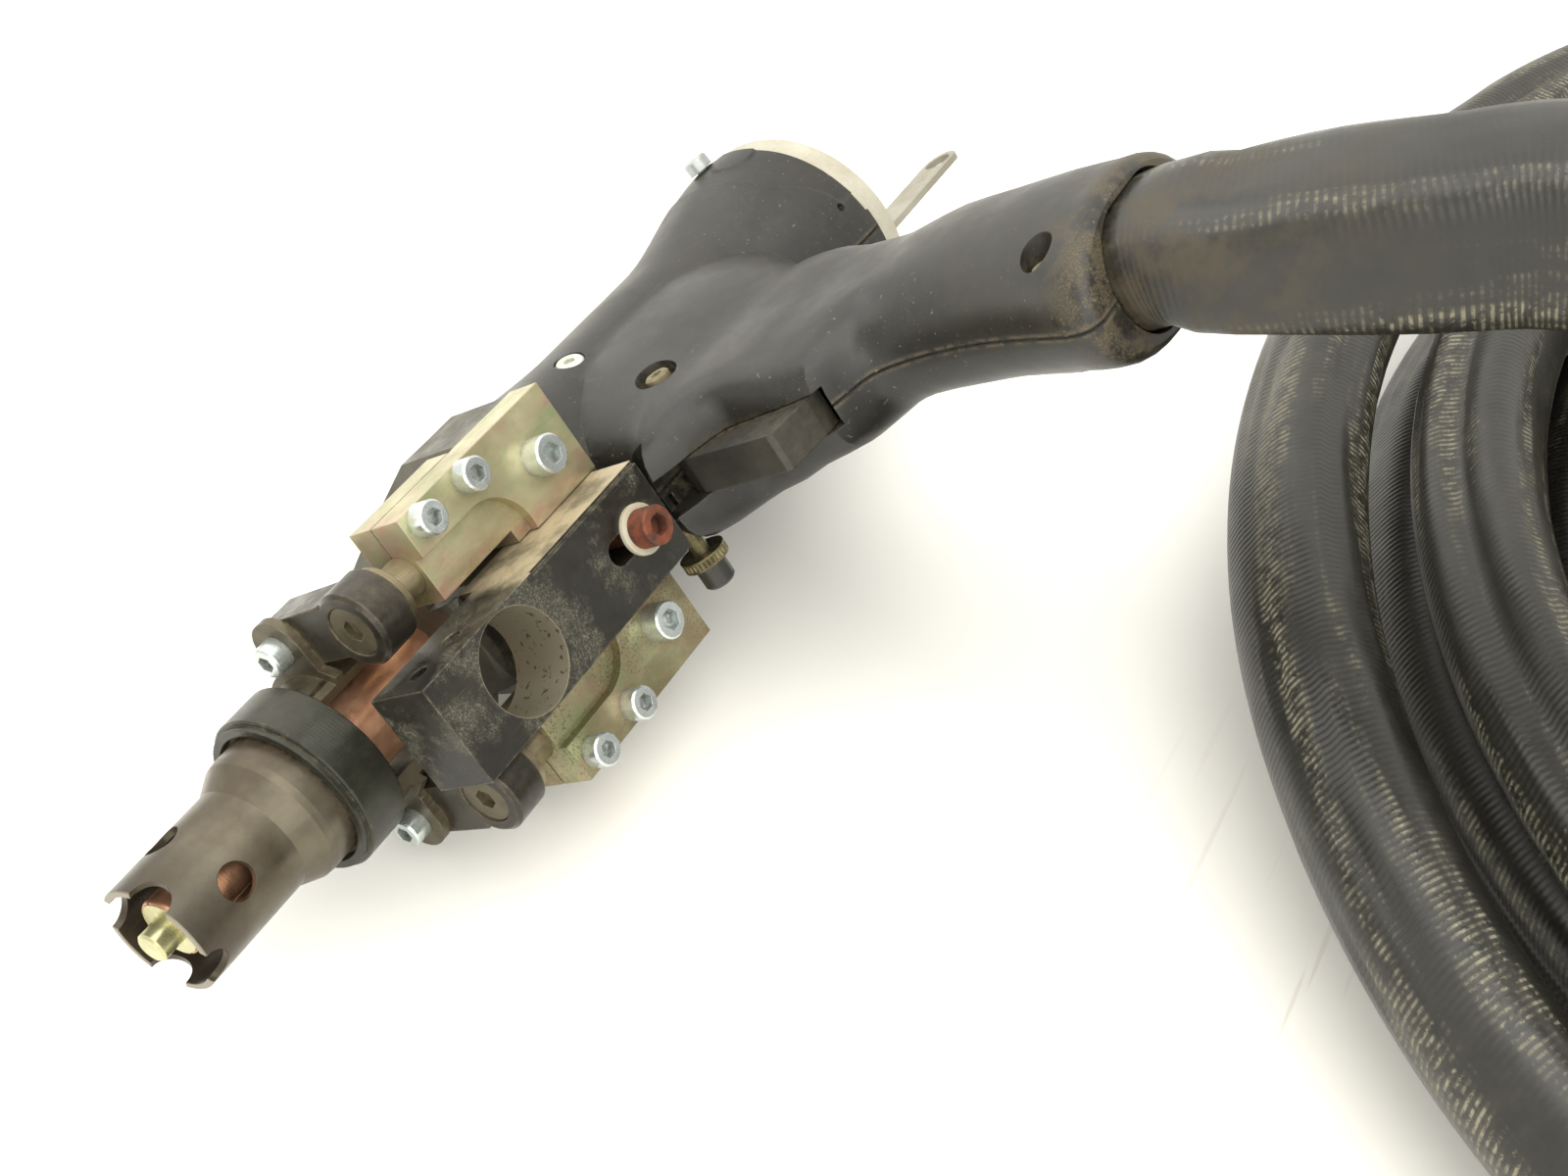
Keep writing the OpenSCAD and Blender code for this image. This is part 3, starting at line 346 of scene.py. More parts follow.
class Effects:
    """The surface effects that more than one finish uses, each a node group that is built once."""

    def __init__(self) -> None:
        """Builds every group."""
        self.drift = self._group(
            "colour_drift", Kind.COLOUR, self._drift, Scale=Kind.NUMBER, First=Kind.COLOUR,
            Second=Kind.COLOUR,
        )
        self.film = self._group(
            "dust_film", Kind.NUMBER, self._film, Scale=Kind.NUMBER, Amount=Kind.NUMBER
        )
        self.specks = self._group(
            "specks", Kind.NUMBER, self._specks, Scale=Kind.NUMBER, Amount=Kind.NUMBER
        )
        self.scratches = self._group(
            "scratches", Kind.NUMBER, self._scratches, Scale=Kind.NUMBER, Amount=Kind.NUMBER
        )
        self.worn = self._group(
            "worn_edges", Kind.NUMBER, self._worn, Radius=Kind.NUMBER, Amount=Kind.NUMBER
        )
        self.grain = self._group("moulded_grain", Kind.NUMBER, self._grain, Scale=Kind.NUMBER)
        # Dirt in corners and gaps, which is also painted shade: its mask follows ambient occlusion.
        self.grime_and_shade = self._group(
            "corner_grime_and_shade", Kind.NUMBER, self._grime_and_shade, Reach=Kind.NUMBER, Amount=Kind.NUMBER
        )

    def _group(self, name: str, out: Kind, fill: Callable, **inputs: Kind) -> bpy.types.NodeTree:
        """Makes one node group.

        Args:
            name: Name of the group.
            out: Kind of its one output.
            fill: Method that adds its nodes and returns the result.
            inputs: Its inputs besides the coordinates.

        Returns:
            The finished group.
        """
        tree = bpy.data.node_groups.new(name, "ShaderNodeTree")
        tree.interface.new_socket("Vector", in_out="INPUT", socket_type=Kind.VECTOR.value)
        for label, kind in inputs.items():
            tree.interface.new_socket(label, in_out="INPUT", socket_type=kind.value)
        tree.interface.new_socket("Result", in_out="OUTPUT", socket_type=out.value)
        painter = Painter(tree)
        given = painter.node("NodeGroupInput")
        result = fill(painter, given.outputs)
        painter.feed(painter.node("NodeGroupOutput").inputs[0], result)
        return tree

    def _drift(self, p: Painter, given: bpy.types.NodeOutputs) -> Socket:
        """A slow change from one colour to another."""
        share = p.step(p.noise(given["Vector"], given["Scale"], 5.0, 0.6), 0.36, 0.64)
        return p.mix(share, given["First"], given["Second"])

    def _film(self, p: Painter, given: bpy.types.NodeOutputs) -> Socket:
        """Dust that lies mostly on what faces up.

        Args:
            p: The painter that adds the nodes.
            given: The group's own inputs.

        Returns:
            The mask, from 0 to 1.
        """
        facing = p.parts(p.node("ShaderNodeNewGeometry").outputs["Normal"])[2]
        broad = p.noise(given["Vector"], given["Scale"], 6.0, 0.7)
        fine = p.noise(given["Vector"], p.times(given["Scale"], 14.0), 3.0, 0.7)
        mottled = p.plus(p.times(broad, 0.65), p.times(fine, 0.35))
        cover = p.step(mottled, 0.4, 0.72)
        return p.times(cover, p.step(facing, -0.5, 0.9, 0.3, 1.0), given["Amount"], clamp=True)

    def _specks(self, p: Painter, given: bpy.types.NodeOutputs) -> Socket:
        """Fine crumbs of dirt, which lie in loose patches.

        Args:
            p: The painter that adds the nodes.
            given: The group's own inputs.

        Returns:
            The mask, from 0 to 1.
        """
        crumb = p.step(p.noise(given["Vector"], given["Scale"], 2.0, 0.6), 0.66, 0.71)
        patch = p.noise(given["Vector"], p.times(given["Scale"], 0.035), 4.0, 0.65)
        there = p.step(patch, p.minus(0.7, p.times(given["Amount"], 0.34)), 0.76)
        return p.times(crumb, there, clamp=True)

    def _scratches(self, p: Painter, given: bpy.types.NodeOutputs) -> Socket:
        """Short fine strokes in three directions, which come and go.

        Args:
            p: The painter that adds the nodes.
            given: The group's own inputs.

        Returns:
            The mask, from 0 to 1.
        """
        strokes = []
        for turn, shift in (
            ((0.0, 0.55, 0.0), 0.0), ((0.0, 0.0, -0.5), 3.1), ((0.0, -0.3, 1.2), 6.7)
        ):
            along = p.mapped(given["Vector"], (0.03, 1, 1), turn, (shift, 0, 0))
            strokes.append(p.step(p.noise(along, given["Scale"], 1.0, 0.5), 0.7, 0.74))
        where = p.noise(given["Vector"], p.times(given["Scale"], 0.012), 3.0, 0.6)
        there = p.step(where, p.minus(0.7, p.times(given["Amount"], 0.36)), 0.78)
        any_stroke = p.math("MAXIMUM", p.math("MAXIMUM", strokes[0], strokes[1]), strokes[2])
        return p.times(any_stroke, there, clamp=True)

    def _worn(self, p: Painter, given: bpy.types.NodeOutputs) -> Socket:
        """The edges where the finish is rubbed through.

        Args:
            p: The painter that adds the nodes.
            given: The group's own inputs.

        Returns:
            The mask, from 0 to 1.
        """
        rounded = p.node("ShaderNodeBevel", samples=4)
        p.feed(rounded.inputs["Radius"], given["Radius"])
        dot = p.node("ShaderNodeVectorMath", operation="DOT_PRODUCT")
        p.feed(dot.inputs[0], rounded.outputs[0])
        p.feed(dot.inputs[1], p.node("ShaderNodeNewGeometry").outputs["Normal"])
        edge = p.step(p.minus(1.0, dot.outputs["Value"]), 0.02, 0.16)
        broken = p.noise(given["Vector"], 260.0, 5.0, 0.75)
        rubbed = p.step(broken, p.minus(0.78, p.times(given["Amount"], 0.5)), 0.82)
        return p.times(edge, rubbed, clamp=True)

    def _grime_and_shade(self, p: Painter, given: bpy.types.NodeOutputs) -> Socket:
        """Dirt that gathers in corners, gaps and round what stands on the surface, and painted
        shade there, as the mask follows ambient occlusion.

        Args:
            p: The painter that adds the nodes.
            given: The group's own inputs.

        Returns:
            The mask, from 0 to 1.
        """
        # Ambient occlusion decides where the dirt and the painted shade go.
        open_sky = p.node("ShaderNodeAmbientOcclusion", samples=3)
        p.feed(open_sky.inputs["Distance"], given["Reach"])
        deep = p.step(p.minus(1.0, open_sky.outputs["AO"]), 0.3, 0.85)
        broken = p.step(p.noise(given["Vector"], 420.0, 4.0, 0.7), 0.34, 0.62)
        return p.times(deep, broken, given["Amount"], clamp=True)

    def _grain(self, p: Painter, given: bpy.types.NodeOutputs) -> Socket:
        """Height of a fine leathery or cast grain, from 0 to 1.

        Args:
            p: The painter that adds the nodes.
            given: The group's own inputs.

        Returns:
            The height.
        """
        fine = p.noise(given["Vector"], given["Scale"], 2.0, 0.6)
        broad = p.noise(given["Vector"], p.times(given["Scale"], 0.13), 3.0, 0.5)
        return p.plus(p.times(fine, 0.6), p.times(broad, 0.4))


# ------------------------------------------------------------------ finishes


@dataclass
class Layers:
    """What a finish has painted so far: colour, roughness and how metallic it is."""

    colour: Value
    rough: Value
    metal: Value

    def lay(self, p: Painter, mask: Socket, colour: Value, rough: float, metal: float) -> None:
        """Lays another surface over this one where the mask is 1.

        Args:
            p: The painter that adds the nodes.
            mask: Where the new surface shows.
            colour: Its colour.
            rough: Its roughness.
            metal: How metallic it is.
        """
        self.colour = p.mix(mask, self.colour, colour)
        self.rough = p.blend(mask, self.rough, rough)
        self.metal = p.blend(mask, self.metal, metal)


@dataclass(frozen=True)
class Finish:
    """One surface finish, with its colour change, grain, wear, scratches, dust and specks."""

    name: str
    body: Colour
    drift: Colour
    drift_scale: float = 45.0
    roughness: float = 0.5
    spread: float = 0.14
    metal: float = 0.0
    grain_scale: float = 1500.0
    grain_height: float = 0.00002
    soft_edge: float = 0.0004
    worn: Colour = (0.45, 0.44, 0.42, 1.0)
    wear: float = 0.0
    worn_metal: float = 0.9
    scratch: Colour = (0.35, 0.33, 0.3, 1.0)
    scratched: float = 0.0
    scratch_scale: float = 2400.0
    # The dust colour, also laid in corners and gaps as dirt and painted shade.
    dust: Colour = (0.28, 0.22, 0.15, 1.0)
    dusty: float = 0.0
    dust_scale: float = 30.0
    speck: Colour = (0.45, 0.38, 0.28, 1.0)
    specked: float = 0.0
    speck_scale: float = 1700.0
    # How strongly the dust colour is laid in corners and gaps: dirt there, and painted shade where
    # that colour is darker than the surface.
    grime_and_shade: float = 0.0
    grime_and_shade_reach: float = 0.004

    def coordinates(self, p: Painter) -> Socket:
        """The gun's own frame: x along the barrel, y towards the handle, z to the lower side.

        Args:
            p: The painter that adds the nodes.

        Returns:
            The coordinates.
        """
        place = p.node("ShaderNodeTexCoord").outputs["Object"]
        turned = p.node("ShaderNodeMapping", vector_type="TEXTURE")
        p.feed(turned.inputs["Vector"], place)
        turned.inputs["Location"].default_value = GUN_SHIFT
        turned.inputs["Rotation"].default_value = (GUN_ROLL, 0, 0)
        return turned.outputs[0]

    def paint(self, p: Painter, at: Socket, layers: Layers) -> None:
        """Adds what only this finish shows, under the scratches and the dust."""

    def height(self, p: Painter, effects: Effects, at: Socket) -> Socket:
        """Height of the surface's fine relief."""
        grain = p.effect(effects.grain, Vector=at, Scale=self.grain_scale)
        return p.times(grain, self.grain_height)

    def build(self, effects: Effects) -> bpy.types.Material:
        """Makes the material.

        Args:
            effects: The shared effects.

        Returns:
            The finished material.
        """
        made = bpy.data.materials.new(self.name)
        made.use_nodes = True
        tree = made.node_tree
        tree.nodes.clear()
        p = Painter(tree)
        at = self.coordinates(p)
        cloud = p.noise(at, self.drift_scale * 2.3, 5.0, 0.65)
        low, high = max(0.05, self.roughness - self.spread), min(1.0, self.roughness + self.spread)
        rough = p.step(cloud, 0.3, 0.7, low, high)
        body = p.effect(
            effects.drift, Vector=at, Scale=self.drift_scale, First=self.body, Second=self.drift
        )
        layers = Layers(body, rough, self.metal)
        self.paint(p, at, layers)
        if self.scratched:
            marks = p.effect(
                effects.scratches, Vector=at, Scale=self.scratch_scale, Amount=self.scratched
            )
            layers.lay(p, marks, self.scratch, 0.4, self.worn_metal)
        if self.wear:
            edges = p.effect(effects.worn, Vector=at, Radius=self.soft_edge * 2.2, Amount=self.wear)
            layers.lay(p, edges, self.worn, 0.35, self.worn_metal)
        if self.dusty:
            film = p.effect(effects.film, Vector=at, Scale=self.dust_scale, Amount=self.dusty)
            layers.lay(p, film, self.dust, 0.95, 0.0)
        # Dirt and painted shade in corners and gaps, from ambient occlusion, in the dust colour.
        if self.grime_and_shade:
            corners = p.effect(effects.grime_and_shade, Vector=at, Reach=self.grime_and_shade_reach, Amount=self.grime_and_shade)
            layers.lay(p, corners, self.dust, 0.95, 0.0)
        if self.specked:
            dots = p.effect(effects.specks, Vector=at, Scale=self.speck_scale, Amount=self.specked)
            layers.lay(p, dots, self.speck, 0.9, 0.0)
        relief = p.node("ShaderNodeBump")
        relief.inputs["Strength"].default_value = 1.0
        relief.inputs["Distance"].default_value = 1.0
        p.feed(relief.inputs["Height"], self.height(p, effects, at))
        if self.soft_edge:
            rounded = p.node("ShaderNodeBevel", samples=4)
            rounded.inputs["Radius"].default_value = self.soft_edge
            p.feed(relief.inputs["Normal"], rounded.outputs[0])
        shader = p.node("ShaderNodeBsdfPrincipled")
        p.feed(shader.inputs["Base Color"], layers.colour)
        p.feed(shader.inputs["Roughness"], layers.rough)
        p.feed(shader.inputs["Metallic"], layers.metal)
        p.feed(shader.inputs["Normal"], relief.outputs[0])
        p.feed(p.node("ShaderNodeOutputMaterial").inputs["Surface"], shader.outputs[0])
        return made


@dataclass(frozen=True)
class Chromate(Finish):
    """Yellow zinc chromate, which shimmers from straw to pink and green."""

    rose: Colour = tone(206, 160, 146)
    green: Colour = tone(158, 182, 132)
    stain: Colour = tone(132, 112, 76)
    # Darker, browner colour laid towards the side that lies underneath.
    underside_tint: Colour = tone(160, 140, 110)

    def paint(self, p: Painter, at: Socket, layers: Layers) -> None:
        """Lays rose and green clouds over the straw ground, drawn out along the mill's strokes.

        Args:
            p: The painter that adds the nodes.
            at: The pattern's coordinates.
            layers: What is painted so far.
        """
        drawn = p.mapped(at, (0.35, 1, 1), (0, 0, 0.25))
        for shift, colour, share in (
            (0.0, self.rose, 0.75), (5.0, self.green, 0.8), (9.0, self.stain, 0.4)
        ):
            cloud = p.noise(p.mapped(drawn, shift=(shift, shift, 0)), 60.0, 5.0, 0.7)
            layers.colour = p.mix(p.step(cloud, 0.47, 0.66, 0.0, share), layers.colour, colour)
        # A darker, browner colour in broken patches towards the side that lies underneath.
        lower = p.step(p.parts(at)[2], 0.006, 0.02)
        underside_tint = p.times(p.step(p.noise(at, 48.0, 5.0, 0.7), 0.38, 0.62, 0.2, 0.8), lower)
        layers.colour = p.mix(underside_tint, layers.colour, self.underside_tint)
        crust = p.times(
            p.step(p.noise(at, 1300.0, 3.0, 0.7), 0.5, 0.62),
            p.step(p.noise(at, 70.0, 4.0, 0.7), 0.4, 0.56),
        )
        layers.lay(p, p.times(crust, lower, 0.8), tone(98, 80, 54), 0.8, 0.1)


@dataclass(frozen=True)
class Anodised(Finish):
    """Black anodising on a milled block, with one bare side and a bare bore."""

    bare: Colour = tone(206, 190, 158)
    rubbed: Colour = tone(140, 130, 106)
    bore: Colour = tone(138, 132, 112)
    bore_x: float = 0.0845
    bore_r: float = 0.01285
    half: float = 0.0134
    step_x: float = 0.0984

    def paint(self, p: Painter, at: Socket, layers: Layers) -> None:
        """Leaves the bore's wall and one long side bare, and scuffs the rest with pale dust.

        Args:
            p: The painter that adds the nodes.
            at: The pattern's coordinates.
            layers: What is painted so far.
        """
        x, _, z = p.parts(at)
        squares = p.plus(p.math("POWER", p.minus(x, self.bore_x), 2.0), p.math("POWER", z, 2.0))
        ring = p.math("SQRT", squares)
        close = p.step(ring, 0.03, 0.013, 0.0, 0.1)
        patch = p.plus(p.noise(p.mapped(at, turn=(0, 0.6, 0)), 75.0, 5.0, 0.7), close)
        crumbs = p.step(p.noise(at, 2300.0, 3.0, 0.75), 0.46, 0.64, 0.14, 1.0)
        scuff = p.times(p.step(patch, 0.5, 0.66), crumbs)
        layers.lay(p, p.times(scuff, 0.55), tone(146, 142, 122), 0.9, 0.0)
        wall = p.math("LESS_THAN", p.math("ABSOLUTE", p.minus(ring, self.bore_r)), 0.00012)
        stained = p.mix(p.step(p.noise(at, 620.0, 2.0), 0.62, 0.68), self.bore, tone(84, 66, 46))
        layers.lay(p, wall, stained, 0.5, 0.3)
        ragged = p.plus(x, p.times(p.noise(at, 160.0, 3.0), 0.008))
        behind = p.step(ragged, self.step_x, self.step_x + 0.005)
        side = p.times(p.math("LESS_THAN", z, -self.half + 0.00015), behind)
        cloud = p.step(p.noise(at, 70.0, 5.0, 0.7), 0.42, 0.66)
        layers.lay(p, side, p.mix(cloud, self.bare, self.rubbed), 0.5, 0.3)


@dataclass(frozen=True)
class Moulding(Finish):
    """Moulded housing plastic."""

    def paint(self, p: Painter, at: Socket, layers: Layers) -> None:
        """Rubs brown dirt into the rim round the hose and where the two halves meet, and paints
        shade along the open seam between them.

        Args:
            p: The painter that adds the nodes.
            at: The pattern's coordinates.
            layers: What is painted so far.
        """
        _, y, z = p.parts(at)
        rim = p.times(p.step(y, 0.155, 0.1725), p.step(p.noise(at, 75.0, 5.0, 0.75), 0.44, 0.58))
        rubbed = p.times(rim, p.step(p.noise(at, 2400.0, 3.0, 0.7), 0.42, 0.58, 0.25, 1.0))
        layers.lay(p, p.times(rubbed, 0.5), tone(122, 108, 78), 0.9, 0.0)
        seam = p.times(
            p.step(p.math("ABSOLUTE", z), 0.0018, 0.0006),
            p.step(p.noise(at, 240.0, 4.0, 0.7), 0.4, 0.58),
        )
        layers.lay(p, p.times(seam, 0.4), tone(124, 112, 84), 0.9, 0.0)
        # Painted shade of the open seam: a near-black line along the seam plane, wider than the
        # real gap between the halves.
        seam_gap_shade = p.step(p.math("ABSOLUTE", z), 0.0007, 0.0004, 0.0, 0.85)
        layers.lay(p, seam_gap_shade, tone(9, 8, 7), 0.8, 0.0)
        dots = p.step(p.noise(at, 820.0, 1.0, 0.5), 0.71, 0.77, 0.0, 0.6)
        layers.lay(p, dots, tone(126, 118, 98), 0.9, 0.0)


@dataclass(frozen=True)
class Scorched(Finish):
    """Steel that the arc has browned, with a bright thin rim."""

    soot: Colour = tone(62, 57, 50)
    bright: Colour = tone(150, 142, 128)

    def paint(self, p: Painter, at: Socket, layers: Layers) -> None:
        """Darkens the inside and the front, and brightens the rim.

        Args:
            p: The painter that adds the nodes.
            at: The pattern's coordinates.
            layers: What is painted so far.
        """
        x = p.parts(at)[0]
        front = p.step(p.plus(x, p.times(p.noise(at, 90.0, 3.0), 0.016)), 0.008, 0.03, 0.6, 0.0)
        layers.colour = p.mix(front, layers.colour, self.soot)
        layers.lay(p, p.step(x, 0.0001, 0.0004, 1.0, 0.0), self.bright, 0.35, 0.9)


@dataclass(frozen=True)
class Turned(Finish):
    """Metal that was turned in a lathe, with rings across its axis."""

    pitch: float = 0.0009
    depth: float = 0.000012

    def height(self, p: Painter, effects: Effects, at: Socket) -> Socket:
        """Adds the tool's rings to the grain.

        Args:
            p: The painter that adds the nodes.
            effects: The shared effects.
            at: The pattern's coordinates.

        Returns:
            The height, in metres.
        """
        x = p.parts(at)[0]
        ring = p.math("SINE", p.times(x, TURN / self.pitch))
        return p.plus(p.times(ring, self.depth), super().height(p, effects, at))


@dataclass(frozen=True)
class Jacket(Finish):
    """Rubber round a cord, with ribs that run round it."""

    pitch: float = 0.0018
    rib: float = 0.00011
    slant: float = 0.004
    chalk: Colour = tone(172, 166, 140)

    def coordinates(self, p: Painter) -> Socket:
        """The table's frame."""
        return p.node("ShaderNodeTexCoord").outputs["Object"]

    def ribs(self, p: Painter) -> Socket:
        """Height of the ribs from 0 to 1, from the cord's own girth and length.

        Args:
            p: The painter that adds the nodes.

        Returns:
            The height, from 0 to 1.
        """
        girth, along, _ = p.parts(p.node("ShaderNodeTexCoord").outputs["UV"])
        lean = p.times(p.math("COSINE", p.times(girth, TURN)), self.slant)
        wave = p.math("SINE", p.times(p.plus(along, lean), TURN / self.pitch))
        return p.math("MULTIPLY_ADD", wave, 0.5, 0.5)

    def paint(self, p: Painter, at: Socket, layers: Layers) -> None:
        """Rubs chalk on the ribs' tops, and dirt in where the cord leaves the handle.

        Args:
            p: The painter that adds the nodes.
            at: The pattern's coordinates.
            layers: What is painted so far.
        """
        laid = p.node("ShaderNodeTexCoord").outputs["UV"]
        along = p.parts(laid)[1]
        patch = p.noise(p.mapped(laid, (9, 6, 1)), 1.0, 4.0, 0.6)
        scuff = p.noise(at, 300.0, 4.0, 0.75)
        tops = p.step(self.ribs(p), 0.35, 0.9, 0.12, 1.0)
        dragged = p.plus(patch, p.step(along, 0.45, 1.3, 0.0, 0.035))
        there = p.times(p.step(dragged, 0.52, 0.66), p.step(scuff, 0.4, 0.6))
        layers.lay(p, p.times(there, tops, 0.68), self.chalk, 0.95, 0.0)
        near = p.times(p.step(along, 0.1, 0.02), p.step(p.noise(at, 60.0, 5.0, 0.7), 0.42, 0.66))
        layers.lay(p, p.times(near, 0.42), tone(98, 84, 60), 0.95, 0.0)

    def height(self, p: Painter, effects: Effects, at: Socket) -> Socket:
        """Adds the ribs to the grain.

        Args:
            p: The painter that adds the nodes.
            effects: The shared effects.
            at: The pattern's coordinates.

        Returns:
            The height, in metres.
        """
        grain = super().height(p, effects, at)
        sharp = p.step(p.noise(at, 16.0, 4.0, 0.6), 0.36, 0.62, self.rib * 0.3, self.rib)
        along = p.parts(p.node("ShaderNodeTexCoord").outputs["UV"])[1]
        deep = p.times(sharp, p.step(along, 0.03, 0.16, 0.4, 1.0))
        return p.plus(p.times(self.ribs(p), deep), grain)


class Finishes:
    """Every finish of the gun, each built once."""

    def __init__(self) -> None:
        """Builds the materials."""
        self.effects = effects = Effects()
        dust = tone(138, 124, 94)
        self.shell = Moulding(
            "shell_plastic", tone(29, 28, 25), tone(36, 34, 31), 16.0, 0.38, 0.07,
            grain_scale=1900.0, grain_height=0.00003, worn=tone(92, 88, 78), wear=0.3,
            worn_metal=0.0, scratch=tone(104, 101, 92), scratched=0.22, dust=tone(112, 104, 82),
            dusty=0.12, dust_scale=22.0, grime_and_shade=0.85, grime_and_shade_reach=0.006, specked=0.6,
            speck=tone(118, 110, 90),
        ).build(effects)
        self.trigger = Finish(
            "trigger_plastic", tone(42, 41, 38), tone(54, 52, 47), 40.0, 0.4, 0.08,
            grain_height=0.00002, soft_edge=0.0006, worn=tone(126, 120, 104), wear=0.4,
            worn_metal=0.0, dust=dust, dusty=0.2, grime_and_shade=1.0, grime_and_shade_reach=0.003, specked=0.2,
        ).build(effects)
        self.block = Finish(
            "housing_block", tone(104, 102, 92), tone(84, 82, 74), 60.0, 0.42, 0.12, 0.6,
            grain_height=0.00003, worn=tone(160, 152, 134), wear=0.5, scratched=0.3, dust=dust,
            dusty=0.3, grime_and_shade=0.8, specked=0.15,
        ).build(effects)
        self.clamp = Chromate(
            "yellow_zinc", tone(214, 208, 168), tone(190, 182, 142), 34.0, 0.34, 0.08, 0.75,
            grain_scale=700.0, grain_height=0.000012, worn=tone(226, 220, 194), wear=0.45,
            scratch=tone(140, 130, 98), scratched=0.35, dust=tone(104, 86, 56), dusty=0.2,
            dust_scale=60.0, grime_and_shade=0.9, grime_and_shade_reach=0.003, speck=tone(84, 68, 46), specked=0.26,
        ).build(effects)
        self.nut = Turned(
            "adjusting_nut", tone(142, 132, 98), tone(98, 90, 64), 200.0, 0.34, 0.1, 0.85,
            worn=tone(206, 196, 150), wear=0.6, dust=tone(60, 52, 38), dusty=0.2, grime_and_shade=1.0,
            grime_and_shade_reach=0.0012,
        ).build(effects)
        self.zinc = Turned(
            "bright_zinc", tone(232, 240, 238), tone(216, 224, 221), 140.0, 0.24, 0.05, 0.8,
            grain_height=0.000004, soft_edge=0.00025, worn=tone(242, 246, 246), wear=0.3,
            dust=tone(92, 86, 72), dusty=0.08, grime_and_shade=1.0, grime_and_shade_reach=0.0042, specked=0.1,
            depth=0.0000015,
        ).build(effects)
        self.dull_zinc = Turned(
            "dull_zinc", tone(206, 211, 208), tone(184, 189, 186), 140.0, 0.32, 0.06, 0.7,
            grain_height=0.000004, soft_edge=0.00025, worn=tone(196, 200, 198), wear=0.3,
            dust=tone(92, 86, 72), dusty=0.1, grime_and_shade=1.0, grime_and_shade_reach=0.0042, depth=0.0000015,
        ).build(effects)
        self.pale_zinc = Finish(
            "pale_zinc", tone(232, 234, 220), tone(214, 216, 200), 160.0, 0.4, 0.08, 0.4,
            grain_height=0.00001, soft_edge=0.0002, dust=tone(128, 116, 88), grime_and_shade=0.6,
            grime_and_shade_reach=0.0015,
        ).build(effects)
        self.pocket_screw = Finish(
            "pocket_screw", tone(150, 142, 114), tone(116, 106, 80), 300.0, 0.6, 0.1, 0.35,
            grain_height=0.00006, soft_edge=0.0002, dust=tone(140, 126, 92), dusty=0.6,
            dust_scale=120.0, specked=0.3,
        ).build(effects)
        self.bracket = Anodised(
            "black_anodised", tone(35, 33, 29), tone(42, 40, 35), 50.0, 0.3, 0.08, 0.3,
            grain_height=0.00001, worn=tone(176, 166, 140), wear=0.8, scratch=tone(128, 122, 104),
            scratched=0.45, dust=tone(130, 120, 92), dusty=0.08, grime_and_shade=0.6,
            speck=tone(164, 156, 128), specked=0.35, speck_scale=1900.0,
        ).build(effects)
        self.rust = Finish(
            "rusty_steel", tone(132, 70, 44), tone(84, 50, 36), 260.0, 0.75, 0.15, 0.2,
            grain_scale=1300.0, grain_height=0.00012, soft_edge=0.0003, worn=tone(150, 132, 112),
            wear=0.35, dust=tone(40, 26, 20), grime_and_shade=0.9, grime_and_shade_reach=0.0026,
            speck=tone(176, 98, 52), specked=0.5, speck_scale=2400.0,
        ).build(effects)
        self.cap = Finish(
            "cap_plastic", tone(208, 204, 188), tone(190, 184, 164), 30.0, 0.46, 0.1,
            grain_scale=1200.0, scratch=tone(150, 126, 86), scratched=0.5, dust=tone(140, 120, 82),
            dusty=0.3, dust_scale=50.0, grime_and_shade=0.8, speck=tone(112, 88, 54), specked=0.35,
        ).build(effects)
        self.ivory = Finish(
            "ivory_plastic", tone(210, 205, 186), tone(196, 188, 164), 24.0, 0.5, 0.1,
            grain_scale=1200.0, scratch=tone(170, 146, 104), scratched=0.35,
            dust=tone(168, 148, 108), dusty=0.25, grime_and_shade=0.6, speck=tone(128, 104, 66), specked=0.2,
        ).build(effects)
        self.rod = Turned(
            "rod_steel", tone(164, 152, 122), tone(132, 121, 96), 60.0, 0.36, 0.1, 0.8,
            worn=tone(206, 198, 176), wear=0.3, scratched=0.3, dust=dust, dusty=0.25, grime_and_shade=0.8,
            specked=0.2, speck=tone(92, 74, 50), depth=0.000006,
        ).build(effects)
        self.dark_steel = Finish(
            "burnished_steel", tone(64, 60, 53), tone(50, 47, 42), 70.0, 0.33, 0.1, 0.55,
            grain_height=0.00003, soft_edge=0.0005, worn=tone(172, 160, 130), wear=0.85,
            scratch=tone(146, 136, 114), scratched=0.35, dust=dust, dusty=0.22, grime_and_shade=0.85,
            speck=tone(160, 144, 110), specked=0.25,
        ).build(effects)
        self.olive = Finish(
            "foot_ring_metal", tone(108, 100, 80), tone(80, 74, 60), 60.0, 0.38, 0.1, 0.6,
            grain_height=0.00003, worn=tone(180, 168, 136), wear=0.65, scratched=0.3, dust=dust,
            dusty=0.22, grime_and_shade=0.9, specked=0.22,
        ).build(effects)
        self.collar = Turned(
            "collar_metal", tone(58, 59, 49), tone(46, 46, 39), 50.0, 0.33, 0.07, 0.5,
            soft_edge=0.0005, worn=tone(176, 172, 150), wear=0.55, scratched=0.25,
            scratch=tone(126, 122, 104), dust=dust, dusty=0.12, grime_and_shade=0.8, specked=0.14,
            depth=0.000003,
        ).build(effects)
        self.nozzle = Scorched(
            "scorched_steel", tone(110, 103, 87), tone(86, 77, 63), 44.0, 0.33, 0.08, 0.65,
            grain_height=0.00002, soft_edge=0.0003, worn=tone(190, 176, 148), wear=0.5,
            scratch=tone(156, 144, 118), scratched=0.35, dust=tone(112, 94, 68), dusty=0.16,
            dust_scale=40.0, grime_and_shade=0.8, speck=tone(82, 66, 46), specked=0.3,
        ).build(effects)
